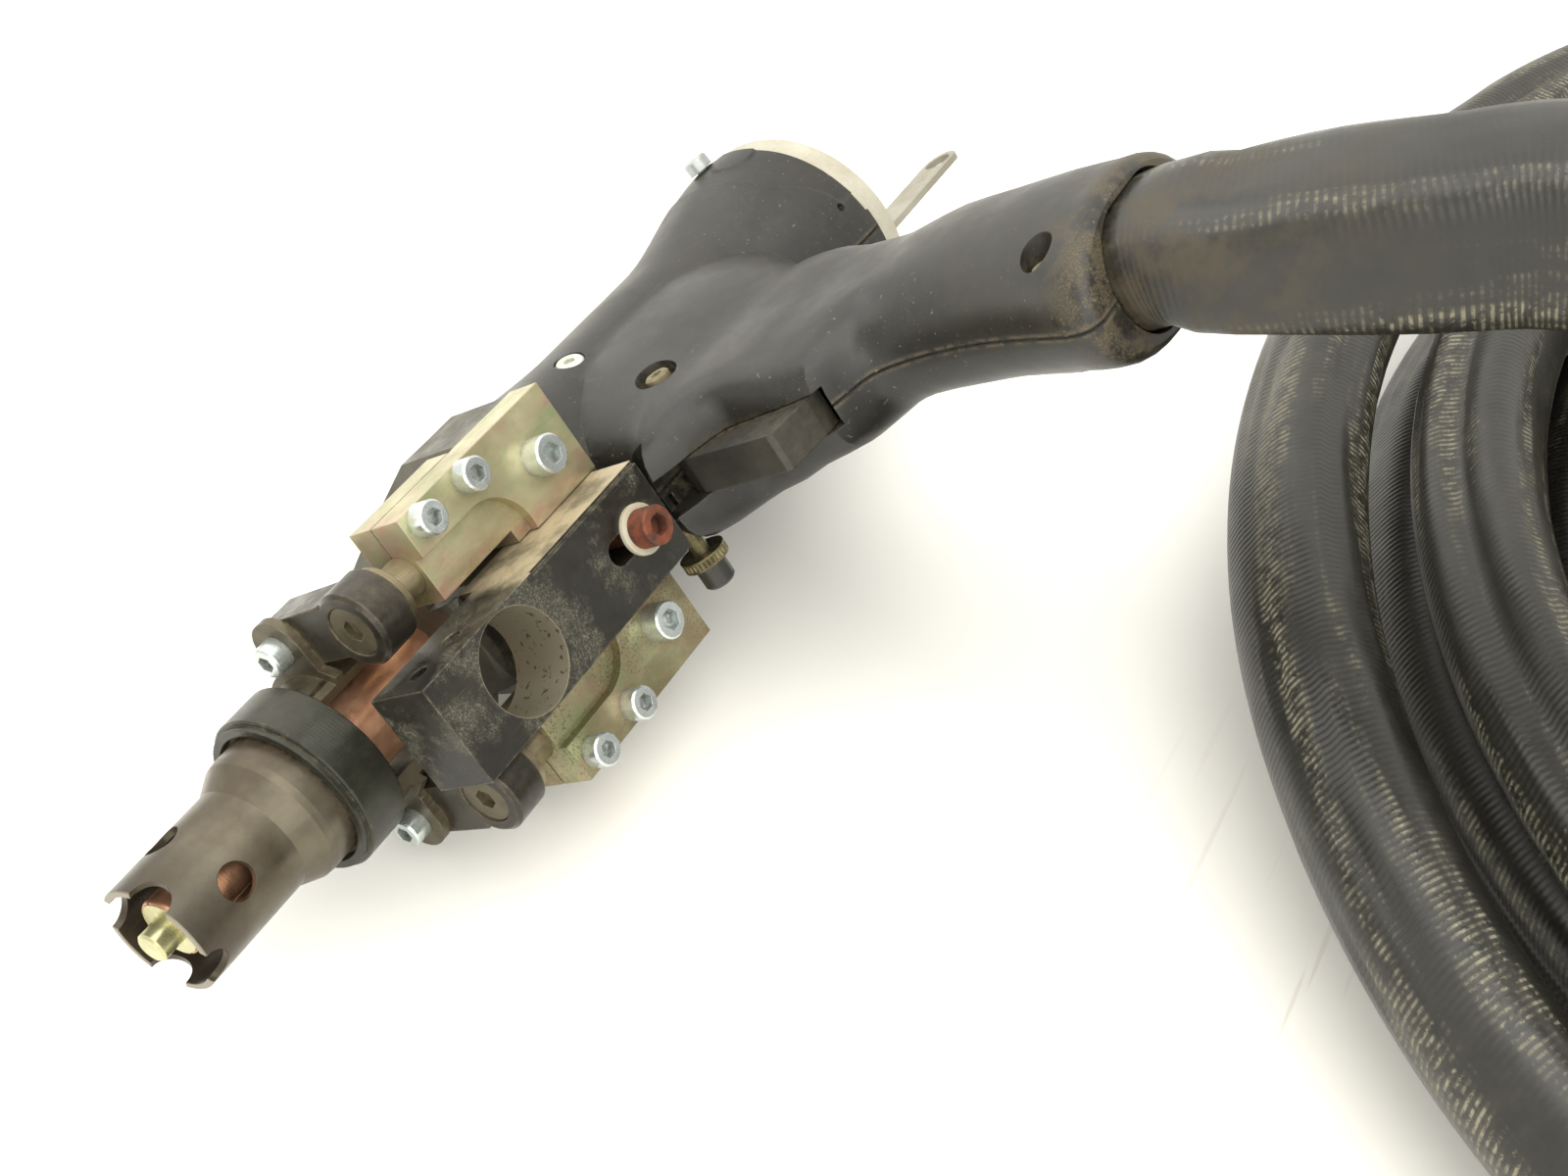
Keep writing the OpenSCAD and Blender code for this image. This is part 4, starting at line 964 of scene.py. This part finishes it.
        self.copper = Turned(
            "copper", tone(232, 180, 144), tone(206, 150, 116), 70.0, 0.34, 0.1, 0.85,
            worn=tone(240, 200, 172), wear=0.5, scratch=tone(130, 94, 72), scratched=0.35,
            dust=tone(112, 90, 66), dusty=0.25, grime_and_shade=0.7, specked=0.2, speck=tone(80, 58, 44),
            depth=0.000003,
        ).build(effects)
        self.stud = Finish(
            "stud_zinc", tone(216, 210, 160), tone(198, 194, 148), 140.0, 0.3, 0.08, 0.8,
            soft_edge=0.0003, scratched=0.2, grain_height=0.00001, worn=tone(234, 230, 204),
            wear=0.4, specked=0.1,
        ).build(effects)
        self.lug = Finish(
            "lug_metal", tone(180, 176, 160), tone(160, 154, 138), 50.0, 0.42, 0.1, 0.45,
            worn=tone(216, 212, 200), wear=0.4, scratch=tone(130, 120, 98), scratched=0.45,
            dust=dust, dusty=0.2, grime_and_shade=0.5, specked=0.18,
        ).build(effects)
        self.hose = Jacket(
            "hose_rubber", tone(33, 32, 28), tone(43, 41, 36), 7.0, 0.36, 0.09, grain_scale=900.0,
            grain_height=0.00003, soft_edge=0.0, dust=tone(112, 106, 86), dusty=0.14,
            dust_scale=12.0, grime_and_shade=0.35, grime_and_shade_reach=0.012, speck=tone(150, 142, 114), specked=0.12,
            speck_scale=1200.0,
        ).build(effects)
        self.cable = Jacket(
            "cable_rubber", tone(48, 46, 42), tone(38, 37, 34), 12.0, 0.55, 0.1, grain_scale=1400.0,
            grain_height=0.00003, soft_edge=0.0, dust=dust, dusty=0.2, specked=0.1, pitch=0.006,
            rib=0.00003,
        ).build(effects)
        self.boot = Finish(
            "boot_rubber", tone(40, 40, 39), tone(50, 49, 46), 30.0, 0.52, 0.1, grain_scale=800.0,
            grain_height=0.00012, soft_edge=0.001, worn=tone(80, 76, 68), wear=0.3, worn_metal=0.0,
            dust=dust, dusty=0.3, grime_and_shade=0.5, specked=0.1,
        ).build(effects)
        self.plug = Finish(
            "plug_rubber", tone(42, 42, 41), tone(52, 51, 48), 30.0, 0.5, 0.1, grain_scale=900.0,
            grain_height=0.00008, soft_edge=0.0008, worn=tone(84, 80, 72), wear=0.3, worn_metal=0.0,
            dust=dust, dusty=0.3, grime_and_shade=0.5, specked=0.12,
        ).build(effects)
        self.brass = Turned(
            "plug_brass", tone(214, 182, 112), tone(190, 156, 92), 90.0, 0.28, 0.08, 0.9,
            worn=tone(234, 212, 160), wear=0.4, scratched=0.4, dusty=0.1, grime_and_shade=0.5, specked=0.1,
        ).build(effects)
        self.ring = Turned(
            "ring_metal", tone(180, 180, 176), tone(156, 156, 152), 90.0, 0.34, 0.08, 0.85,
            worn=tone(214, 214, 208), wear=0.5, scratched=0.3, dust=dust, dusty=0.2, grime_and_shade=0.6,
            specked=0.1,
        ).build(effects)


def dress(material: bpy.types.Material, *names: str) -> None:
    """Gives CAD nodes their finish.

    Args:
        material: The finish.
        names: The nodes that wear it.
    """
    for name in names:
        node = frame["nodes"][name]
        if node.material_slots:
            for slot in node.material_slots:
                slot.material = material
        else:
            node.data.materials.append(material)
        log.info("node %s wears %s", name, material.name)


# ------------------------------------------------------------------ bench, lights and camera


@dataclass(frozen=True)
class Lamp:
    """A square soft light that hangs over the table."""

    name: str
    place: tuple[float, float, float]
    size: float
    power: float


@dataclass
class Bench:
    """The pale table, the soft lights and the camera."""

    eye: tuple[float, float, float] = (-0.3414, -0.1853, 0.3957)
    right: tuple[float, float, float] = (0.4738, -0.8807, 0.0)
    up: tuple[float, float, float] = (0.6161, 0.3313, 0.7146)
    focal_px: float = 2026.0
    width_px: float = 1600.0
    sensor_mm: float = 36.0
    table_side: float = 8.0
    table_at: tuple[float, float, float] = (0.2, -0.3, 0.0)
    room: Colour = (1.0, 0.985, 0.93, 1.0)
    room_strength: float = 1.2
    lamp_colour: tuple[float, float, float] = (1.0, 0.99, 0.955)
    lamps_aim: tuple[float, float, float] = (0.0, -0.1, 0.05)
    lamps: tuple[Lamp, ...] = (
        Lamp("window", (0.15, 1.0, 1.15), 1.6, 12.0),
        Lamp("ceiling", (-0.1, -0.3, 1.7), 1.6, 20.0),
        Lamp("front", (-0.7, -1.3, 1.2), 1.2, 9.0),
        Lamp("side", (-1.3, -0.5, 0.7), 0.8, 5.0),
    )

    def camera(self) -> None:
        """Sets the camera where the gun is seen from."""
        data = bpy.data.cameras.new("view")
        data.sensor_width = self.sensor_mm
        data.lens = self.focal_px / self.width_px * self.sensor_mm
        data.clip_start, data.clip_end = 0.01, 50.0
        made = bpy.data.objects.new("view", data)
        right = Vector(self.right).normalized()
        up = (Vector(self.up) - right * right.dot(Vector(self.up))).normalized()
        turn = Matrix((right, up, right.cross(up))).transposed().to_4x4()
        made.matrix_world = Matrix.Translation(self.eye) @ turn
        bpy.context.scene.collection.objects.link(made)
        bpy.context.scene.camera = made

    def table(self, effects: Effects) -> None:
        """Lays the plain pale table, with its faint marks, under the part.

        Args:
            effects: The shared effects.
        """
        bpy.ops.mesh.primitive_plane_add(size=self.table_side, location=self.table_at)
        plane = bpy.context.object
        plane.name = "table"
        made = bpy.data.materials.new("pale_table")
        made.use_nodes = True
        p = Painter(made.node_tree)
        shader = made.node_tree.nodes["Principled BSDF"]
        at = p.node("ShaderNodeTexCoord").outputs["Object"]
        cloud = p.step(p.noise(at, 3.0, 4.0), 0.3, 0.7)
        ground = p.mix(cloud, tone(246, 245, 241, 1.0), tone(241, 239, 232, 1.0))
        marks = p.times(p.effect(effects.scratches, Vector=at, Scale=340.0, Amount=0.5), 0.45)
        ground = p.mix(marks, ground, tone(176, 158, 124, 1.0))
        crumbs = p.times(p.effect(effects.specks, Vector=at, Scale=420.0, Amount=0.12), 0.7)
        p.feed(shader.inputs["Base Color"], p.mix(crumbs, ground, tone(120, 100, 72, 1.0)))
        p.feed(shader.inputs["Roughness"], p.step(p.noise(at, 14.0, 4.0), 0.3, 0.7, 0.42, 0.6))
        plane.data.materials.append(made)

    def lights(self) -> None:
        """Hangs wide soft lights over the table, in a pale room."""
        scene = bpy.context.scene
        scene.view_settings.view_transform = "Standard"
        world = scene.world or bpy.data.worlds.new("room")
        scene.world = world
        world.use_nodes = True
        room = world.node_tree.nodes["Background"]
        room.inputs["Color"].default_value = self.room
        room.inputs["Strength"].default_value = self.room_strength
        for lamp in self.lamps:
            data = bpy.data.lights.new(lamp.name, "AREA")
            data.size, data.energy, data.color = lamp.size, lamp.power, self.lamp_colour
            made = bpy.data.objects.new(lamp.name, data)
            made.location = lamp.place
            made.rotation_mode = "QUATERNION"
            aim = Vector(self.lamps_aim) - Vector(lamp.place)
            made.rotation_quaternion = aim.to_track_quat("-Z", "Y")
            scene.collection.objects.link(made)


# ------------------------------------------------------------------ hose and cables


def smooth_line(points: Iterable[Vector], step: float) -> list[Vector]:
    """A smooth curve through points, with its own points evenly spaced.

    Args:
        points: Points in order.
        step: Distance between the new points.

    Returns:
        The points of the curve.
    """
    given = [Vector(point) for point in points]
    fine: list[Vector] = []
    for i in range(len(given) - 1):
        a, b, c, d = given[max(0, i - 1)], given[i], given[i + 1], given[min(len(given) - 1, i + 2)]
        second, third = 2 * a - 5 * b + 4 * c - d, 3 * b - a - 3 * c + d
        count = max(2, math.ceil((c - b).length / step * 2))
        for k in range(count):
            t = k / count
            fine.append(0.5 * (2 * b + (c - a) * t + second * t**2 + third * t**3))
    fine.append(given[-1])
    along = [0.0]
    for before, after in zip(fine, fine[1:]):
        along.append(along[-1] + (after - before).length)
    count = max(2, round(along[-1] / step))
    line, i = [], 0
    for k in range(count + 1):
        want = along[-1] * k / count
        while i < len(along) - 2 and along[i + 1] < want:
            i += 1
        share = (want - along[i]) / max(along[i + 1] - along[i], 1e-9)
        line.append(fine[i].lerp(fine[i + 1], share))
    return line


def sweep(
    name: str, line: list[Vector], sides: int, radius: Callable[[float, float], float]
) -> bpy.types.Object:
    """Sweeps a section along a line, with a UV map of girth and length.

    Args:
        name: Name of the piece.
        line: Centre of each ring.
        sides: Points round each ring.
        radius: Radius for a distance along the line and an angle round it.

    Returns:
        The tube, lying on the table where it would sink into it.
    """
    mesh = bmesh.new()
    uv = mesh.loops.layers.uv.new("girth_and_length")
    rings: list[list[bmesh.types.BMVert]] = []
    along = [0.0]
    ahead = (line[1] - line[0]).normalized()
    side = (Vector((1, 0, 0)) - ahead * ahead.x).normalized()
    for i, centre in enumerate(line):
        if i:
            along.append(along[-1] + (centre - line[i - 1]).length)
            new = (line[min(i + 1, len(line) - 1)] - line[i - 1]).normalized()
            side = ahead.rotation_difference(new) @ side
            side = (side - new * side.dot(new)).normalized()
            ahead = new
        over = ahead.cross(side)
        ring = []
        for k in range(sides):
            angle = TURN * k / sides
            reach = radius(along[-1], angle)
            place = centre + (side * math.cos(angle) + over * math.sin(angle)) * reach
            place.z = max(place.z, OFF_TABLE)
            ring.append(mesh.verts.new(place))
        rings.append(ring)
    for i in range(len(rings) - 1):
        for k in range(sides):
            n = (k + 1) % sides
            face = mesh.faces.new((rings[i][k], rings[i][n], rings[i + 1][n], rings[i + 1][k]))
            face.smooth = True
            for loop, (u, v) in zip(face.loops, ((k, i), (k + 1, i), (k + 1, i + 1), (k, i + 1))):
                loop[uv].uv = (u / sides, along[v])
    mesh.faces.new(list(reversed(rings[0])))
    mesh.faces.new(rings[-1])
    bmesh.ops.recalc_face_normals(mesh, faces=mesh.faces)
    data = bpy.data.meshes.new(name)
    mesh.to_mesh(data)
    mesh.free()
    made = bpy.data.objects.new(name, data)
    bpy.context.scene.collection.objects.link(made)
    return made


def metres(points: Iterable[tuple[float, float, float]]) -> list[Vector]:
    """Turns points in millimetres into metres."""
    return [Vector(point) / 1000 for point in points]


@dataclass
class CableHose:
    """The jacketed hose from the handle to its far end, and the two cables that leave its boot."""

    thick: float = 0.038
    length: float = 8.25
    coil_x: float = 0.154
    coil_y: float = -0.395
    coil_in_r: float = 0.195
    coil_pitch: float = 0.0436
    turns: float = 4.5
    start: float = math.radians(50)
    mouth_x: float = 0.203
    mouth_y: float = 0.173
    low: float = 0.0193
    layer: float = 0.0392
    weld_thick: float = 0.016
    control_thick: float = 0.009
    sides: int = 44
    ring_step: float = 0.0065
    cable_sides: int = 20
    cable_step: float = 0.003
    coil_steps: int = 108
    climb: float = 0.5
    socket_half: tuple[float, float] = (0.0164, 0.0124)
    mouth_half: tuple[float, float] = (0.022, 0.0152)
    free_half: tuple[float, float] = (0.0192, 0.0188)
    out_of_socket: Span = (0.0145, 0.002)
    to_free: Span = (0.03, 0.09)
    to_boxy: Span = (0.022, 0.05)
    to_round: Span = (0.32, 0.4)
    to_slack: Span = (0.25, 0.3)
    round_power: float = 2.4
    boxy_power: float = 2.6
    flattened: float = 0.17
    swollen: float = 0.05
    creased: float = 0.06
    folded: float = 0.3
    fold_width: float = 0.3

    def coil_point(self, turn: float) -> Vector:
        """Middle of the hose after that many turns from the coil's upper end.

        Args:
            turn: Turns from the coil's upper end.

        Returns:
            The point.
        """
        reach = self.coil_in_r + self.coil_pitch * min(turn, self.turns - turn)
        angle = self.start + TURN * turn
        climbed = change(turn, (self.turns / 2 - self.climb / 2, self.climb))
        rise = self.low + self.layer * (1 - climbed)
        x, y = self.coil_x + reach * math.cos(angle), self.coil_y + reach * math.sin(angle)
        return Vector((x, y, rise))

    def line(self) -> list[Vector]:
        """Middle of the hose from the handle's socket to the boot.

        Returns:
            The line's points, in order.
        """
        lead = metres((
            (20, -100, 149.5), (21, -121, 158.5), (23, -143, 166.5), (26, -164, 173.5),
            (22, -196, 181), (8, -228, 185), (-14, -266, 183), (-31, -313, 177), (-36, -368, 168),
            (-29, -427, 156), (-4, -487, 141), (37, -534, 125), (92, -566, 109), (154, -579, 95),
            (218, -571, 82), (276, -541, 72), (315, -488, 64.5), (340, -429, 60), (345, -370, 58.6),
            (332, -313, 58.5),
        ))
        tail = metres(((102, -581, 19.3), (148, -578, 19.3), (189, -562, 19.3), (224, -539, 19.3)))
        mouth = [on_table(self.mouth_x, y, 0) for y in (0.1512, 0.162, self.mouth_y, 0.182)]
        coil = [
            self.coil_point(self.turns * i / self.coil_steps)
            for i in range(self.coil_steps + 1)
        ]
        first = coil[0] + Vector((math.sin(self.start), -math.cos(self.start), 0)) * self.thick
        last_angle = self.start + TURN * self.turns
        last = coil[-1] + Vector((-math.sin(last_angle), math.cos(last_angle), 0)) * self.thick
        return smooth_line([*mouth, *lead, first, *coil, last, *tail], self.ring_step)

    def girth(self, along: float, angle: float) -> float:
        """Radius of the sleeve: held by the socket, boxy where it leaves it, then round with folds.

        Args:
            along: Distance from the bottom of the socket.
            angle: Angle round the hose.

        Returns:
            The distance from the hose's middle to its surface.
        """
        out = change(along, self.out_of_socket)
        free = change(along, self.to_free)
        wide, high = (
            tight + (mouth - tight) * out + (loose - mouth) * free
            for tight, mouth, loose in zip(self.socket_half, self.mouth_half, self.free_half)
        )
        boxy, rounded = change(along, self.to_boxy), change(along, self.to_round)
        square = self.round_power + self.boxy_power * boxy - self.boxy_power * rounded
        across, up = math.cos(angle), math.sin(angle)
        side, over = abs(across) / wide, abs(up) / high
        reach = (side**square + over**square) ** (-1 / square)
        lean = math.pi * noise.noise(Vector((along * 1.7, 0.0, 7.0)))
        slack = free * change(along, self.to_slack)
        flat = 1 - self.flattened * slack * (0.5 + 0.5 * math.cos(2 * (angle - lean)))
        swell = noise.noise(Vector((along * 7.0, across * 1.1, up * 1.1)))
        ridge = noise.noise(Vector((along * 5.0, across * 1.6, up * 1.6 + 4)))
        crease = 1 - min(1.0, abs(ridge) * 9)
        middle = 5.0 * noise.noise(Vector((along * 0.9, 3.0, 1.0)))
        apart = math.remainder(angle - middle, TURN)
        there = ease((noise.noise(Vector((along * 2.1, 8.0, 2.0))) + 0.2) / 0.3)
        fold = math.exp(-((apart / self.fold_width) ** 2)) * there
        dents = self.creased * crease + self.folded * fold
        return reach * flat * (1 + self.swollen * free * swell - slack * dents)

    def hose(self, finishes: Finishes) -> None:
        """Makes the hose.

        Args:
            finishes: The finishes.
        """
        line = self.line()
        made = sweep("cable_hose", line, self.sides, self.girth)
        made.data.materials.append(finishes.hose)
        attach(made, "gun")
        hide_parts("hose_lead", "hose_coil", "hose_tail")
        log.info("piece cable_hose: %d rings", len(line))

    def cable(
        self, name: str, node: str, points: list[Vector], thick: float, pieces: tuple[str, ...],
        finishes: Finishes,
    ) -> None:
        """Makes one of the two cables that leave the boot.

        Args:
            name: Name of the piece.
            node: CAD node that it stands for.
            points: Its route, from the boot.
            thick: Its diameter.
            pieces: CAD nodes on its far end; not used.
            finishes: The finishes.
        """
        line = smooth_line(points, self.cable_step)
        made = sweep(name, line, self.cable_sides, lambda along, angle: thick / 2)
        made.data.materials.append(finishes.cable)
        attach(made, "gun")
        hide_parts(node)

    def build(self, finishes: Finishes) -> None:
        """Makes the hose and both cables, and dresses what is on their ends.

        Args:
            finishes: The finishes.
        """
        self.hose(finishes)
        weld = metres((
            (276.62, -509.59, 17.3), (292, -495, 14), (303, -468, 10.5), (300, -438, 10),
            (285, -415, 13), (262, -401, 15.3),
        ))
        control = metres((
            (268.52, -497.49, 17.3), (278, -484, 12), (279, -464, 7), (271, -448, 6),
            (255, -439, 8), (236, -436, 11.3),
        ))
        self.cable(
            "welding_cable", "weld_lead", weld, self.weld_thick, ("weld_plug", "weld_contact"),
            finishes,
        )
        self.cable(
            "control_cable", "control_lead", control, self.control_thick,
            ("control_plug", "control_ring"), finishes,
        )
        dress(finishes.boot, "split_boot")
        dress(finishes.plug, "weld_plug", "control_plug")
        dress(finishes.brass, "weld_contact")
        dress(finishes.ring, "control_ring")


# ------------------------------------------------------------------ gun


def welded_copy(node: str, name: str, angle: float = 32.0) -> bpy.types.Object:
    """Copies a CAD node, joins its loose triangles and smooths its gentle edges.

    Args:
        node: The CAD node, which the copy then stands for.
        name: Name of the new piece.
        angle: Edges sharper than this many degrees stay sharp.

    Returns:
        The copy, which rides where the node rides.
    """
    source = frame["nodes"][node]
    made = bpy.data.objects.new(name, source.data.copy())
    made.data.materials.clear()
    bpy.context.scene.collection.objects.link(made)
    bpy.ops.object.select_all(action="DESELECT")
    made.select_set(True)
    bpy.context.view_layer.objects.active = made
    if made.data.has_custom_normals:
        bpy.ops.mesh.customdata_custom_splitnormals_clear()
    bpy.ops.object.mode_set(mode="EDIT")
    bpy.ops.mesh.select_all(action="SELECT")
    bpy.ops.mesh.remove_doubles(threshold=WELD_GAP)
    bpy.ops.object.mode_set(mode="OBJECT")
    bpy.ops.object.shade_smooth_by_angle(angle=math.radians(angle))
    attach(made, source["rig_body"])
    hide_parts(node)
    return made


@dataclass
class Shells:
    """The two moulded shells, with the shallow recess round the upper one's rear."""

    angle: float = 32.0
    waist_r: float = 0.0308
    rim_r: float = 0.0382
    flare_x: float = 0.236
    full_x: float = 0.289
    rim_x: float = 0.2899
    recess_from: float = 0.264
    near: float = 0.0005
    cuts: int = 8
    deep: float = 0.0006
    screw_x: float = 0.286
    screw_turn: float = -1.396
    pad_r: float = 0.0078
    pad_edge: float = 0.001
    edge_x: float = 0.2722
    edge_back: float = 0.0112
    edge_half: float = 0.0008
    edge_lean: Span = (-1.05, 0.71)
    near_seam: Span = (-0.3, 0.06)
    far_seam: Span = (-3.05, 0.25)
    rim_round: float = 0.0018

    def outer_r(self, x: float) -> float:
        """Radius of the flared barrel at a place along it."""
        flare = ease((x - self.flare_x) / (self.full_x - self.flare_x))
        return self.waist_r + (self.rim_r - self.waist_r) * flare

    def recess(self, x: float, turn: float) -> float:
        """How deep the recess is, which ends before both seams and round a screw.

        Args:
            x: Distance behind the nozzle's rim.
            turn: Angle round the barrel from the handle's side, less than zero on the upper shell.

        Returns:
            The depth of the recess under the barrel's own surface.
        """
        edge = self.edge_x + self.edge_back * change(turn, self.edge_lean)
        seam, fade = self.near_seam
        ends = ease((seam - turn) / fade) * change(turn, self.far_seam)
        from_screw = math.hypot(x - self.screw_x, (turn - self.screw_turn) * self.rim_r)
        pad = ease((from_screw - self.pad_r + self.pad_edge) / self.pad_edge)
        return self.deep * ends * pad * ease((x - edge + self.edge_half) / (2 * self.edge_half))

    def sink_recess(self, made: bpy.types.Object) -> None:
        """Divides the barrel's rear finely, rounds it and sinks the recess into it.

        Args:
            made: The smoothed copy of the upper shell, selected and active.
        """
        mesh = made.data
        for group in (mesh.vertices, mesh.edges, mesh.polygons):
            group.foreach_set("select", [False] * len(group))
        outside = []
        for vert in mesh.vertices:
            x, y, z = off_table(vert.co)
            apart = abs(math.hypot(y, z) - self.outer_r(x))
            outside.append(x > self.recess_from and apart < self.near)
        for face in mesh.polygons:
            face.select = all(outside[i] for i in face.vertices)
        bpy.ops.object.mode_set(mode="EDIT")
        bpy.ops.mesh.select_mode(type="FACE")
        bpy.ops.mesh.subdivide(number_cuts=self.cuts)
        bpy.ops.object.mode_set(mode="OBJECT")
        for vert in mesh.vertices:
            x, y, z = off_table(vert.co)
            reach, turn = math.hypot(y, z), math.atan2(z, y)
            if x > self.rim_x and reach > self.rim_r - self.rim_round:
                reach -= self.recess(x, turn)
            elif x > self.recess_from and abs(reach - self.outer_r(x)) < self.near:
                reach = self.outer_r(x) - self.recess(x, turn)
            else:
                continue
            vert.co = on_table(x, reach * math.cos(turn), reach * math.sin(turn))
        bpy.ops.object.shade_smooth_by_angle(angle=math.radians(self.angle))

    def build(self, finishes: Finishes) -> None:
        """Makes the smooth shells.

        Args:
            finishes: The finishes.
        """
        for node in ("shell_upper", "shell_lower"):
            made = welded_copy(node, f"{node}_moulding", self.angle)
            if node == "shell_upper":
                self.sink_recess(made)
            made.data.materials.append(finishes.shell)
            log.info("piece %s: %d faces", made.name, len(made.data.polygons))


@dataclass
class FrontEnd:
    """Everything in front of the shells: block, clamps, bracket, foot, nozzle and spindle."""

    def build(self, finishes: Finishes) -> None:
        """Dresses the nodes.

        Args:
            finishes: The finishes.
        """
        dress(finishes.block, "housing_block")
        dress(finishes.clamp, "clamp_left", "clamp_right")
        dress(finishes.zinc, "clamp_screws_m6", "clamp_screws_m5", "foot_screws", "spindle")
        dress(finishes.bracket, "bracket")
        dress(finishes.rust, "bracket_screw")
        dress(finishes.ivory, "bracket_washer")
        dress(finishes.rod, "rod_left", "rod_right", "rod_flanges")
        dress(finishes.dark_steel, "foot_arm_left", "foot_arm_right")
        dress(finishes.olive, "foot_ring", "rod_screws")
        dress(finishes.collar, "collar")
        dress(finishes.nozzle, "nozzle")
        dress(finishes.copper, "sleeve", "collet")
        dress(finishes.stud, "stud")


@dataclass
class RearEnd:
    """Trigger, adjusting knob, rear cap and the screws of the shells."""

    def build(self, finishes: Finishes) -> None:
        """Dresses the nodes.

        Args:
            finishes: The finishes.
        """
        dress(finishes.trigger, "trigger", "adjust_knob")
        dress(finishes.zinc, "trigger_pin")
        dress(finishes.dull_zinc, "rear_cap_screws")
        dress(finishes.pale_zinc, "barrel_screw")
        dress(finishes.pocket_screw, "shell_screws")
        dress(finishes.nut, "adjust_nut")
        dress(finishes.cap, "rear_cap")
        dress(finishes.lug, "hanging_lug")


def main() -> None:
    """Builds the scene in order."""
    logging.basicConfig(level=logging.INFO, format="%(message)s")
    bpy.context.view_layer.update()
    bench = Bench()
    bench.camera()
    finishes = Finishes()
    CableHose().build(finishes)
    for group in (Shells(), FrontEnd(), RearEnd()):
        group.build(finishes)
    bench.table(finishes.effects)
    bench.lights()


if __name__ == "__main__":
    main()
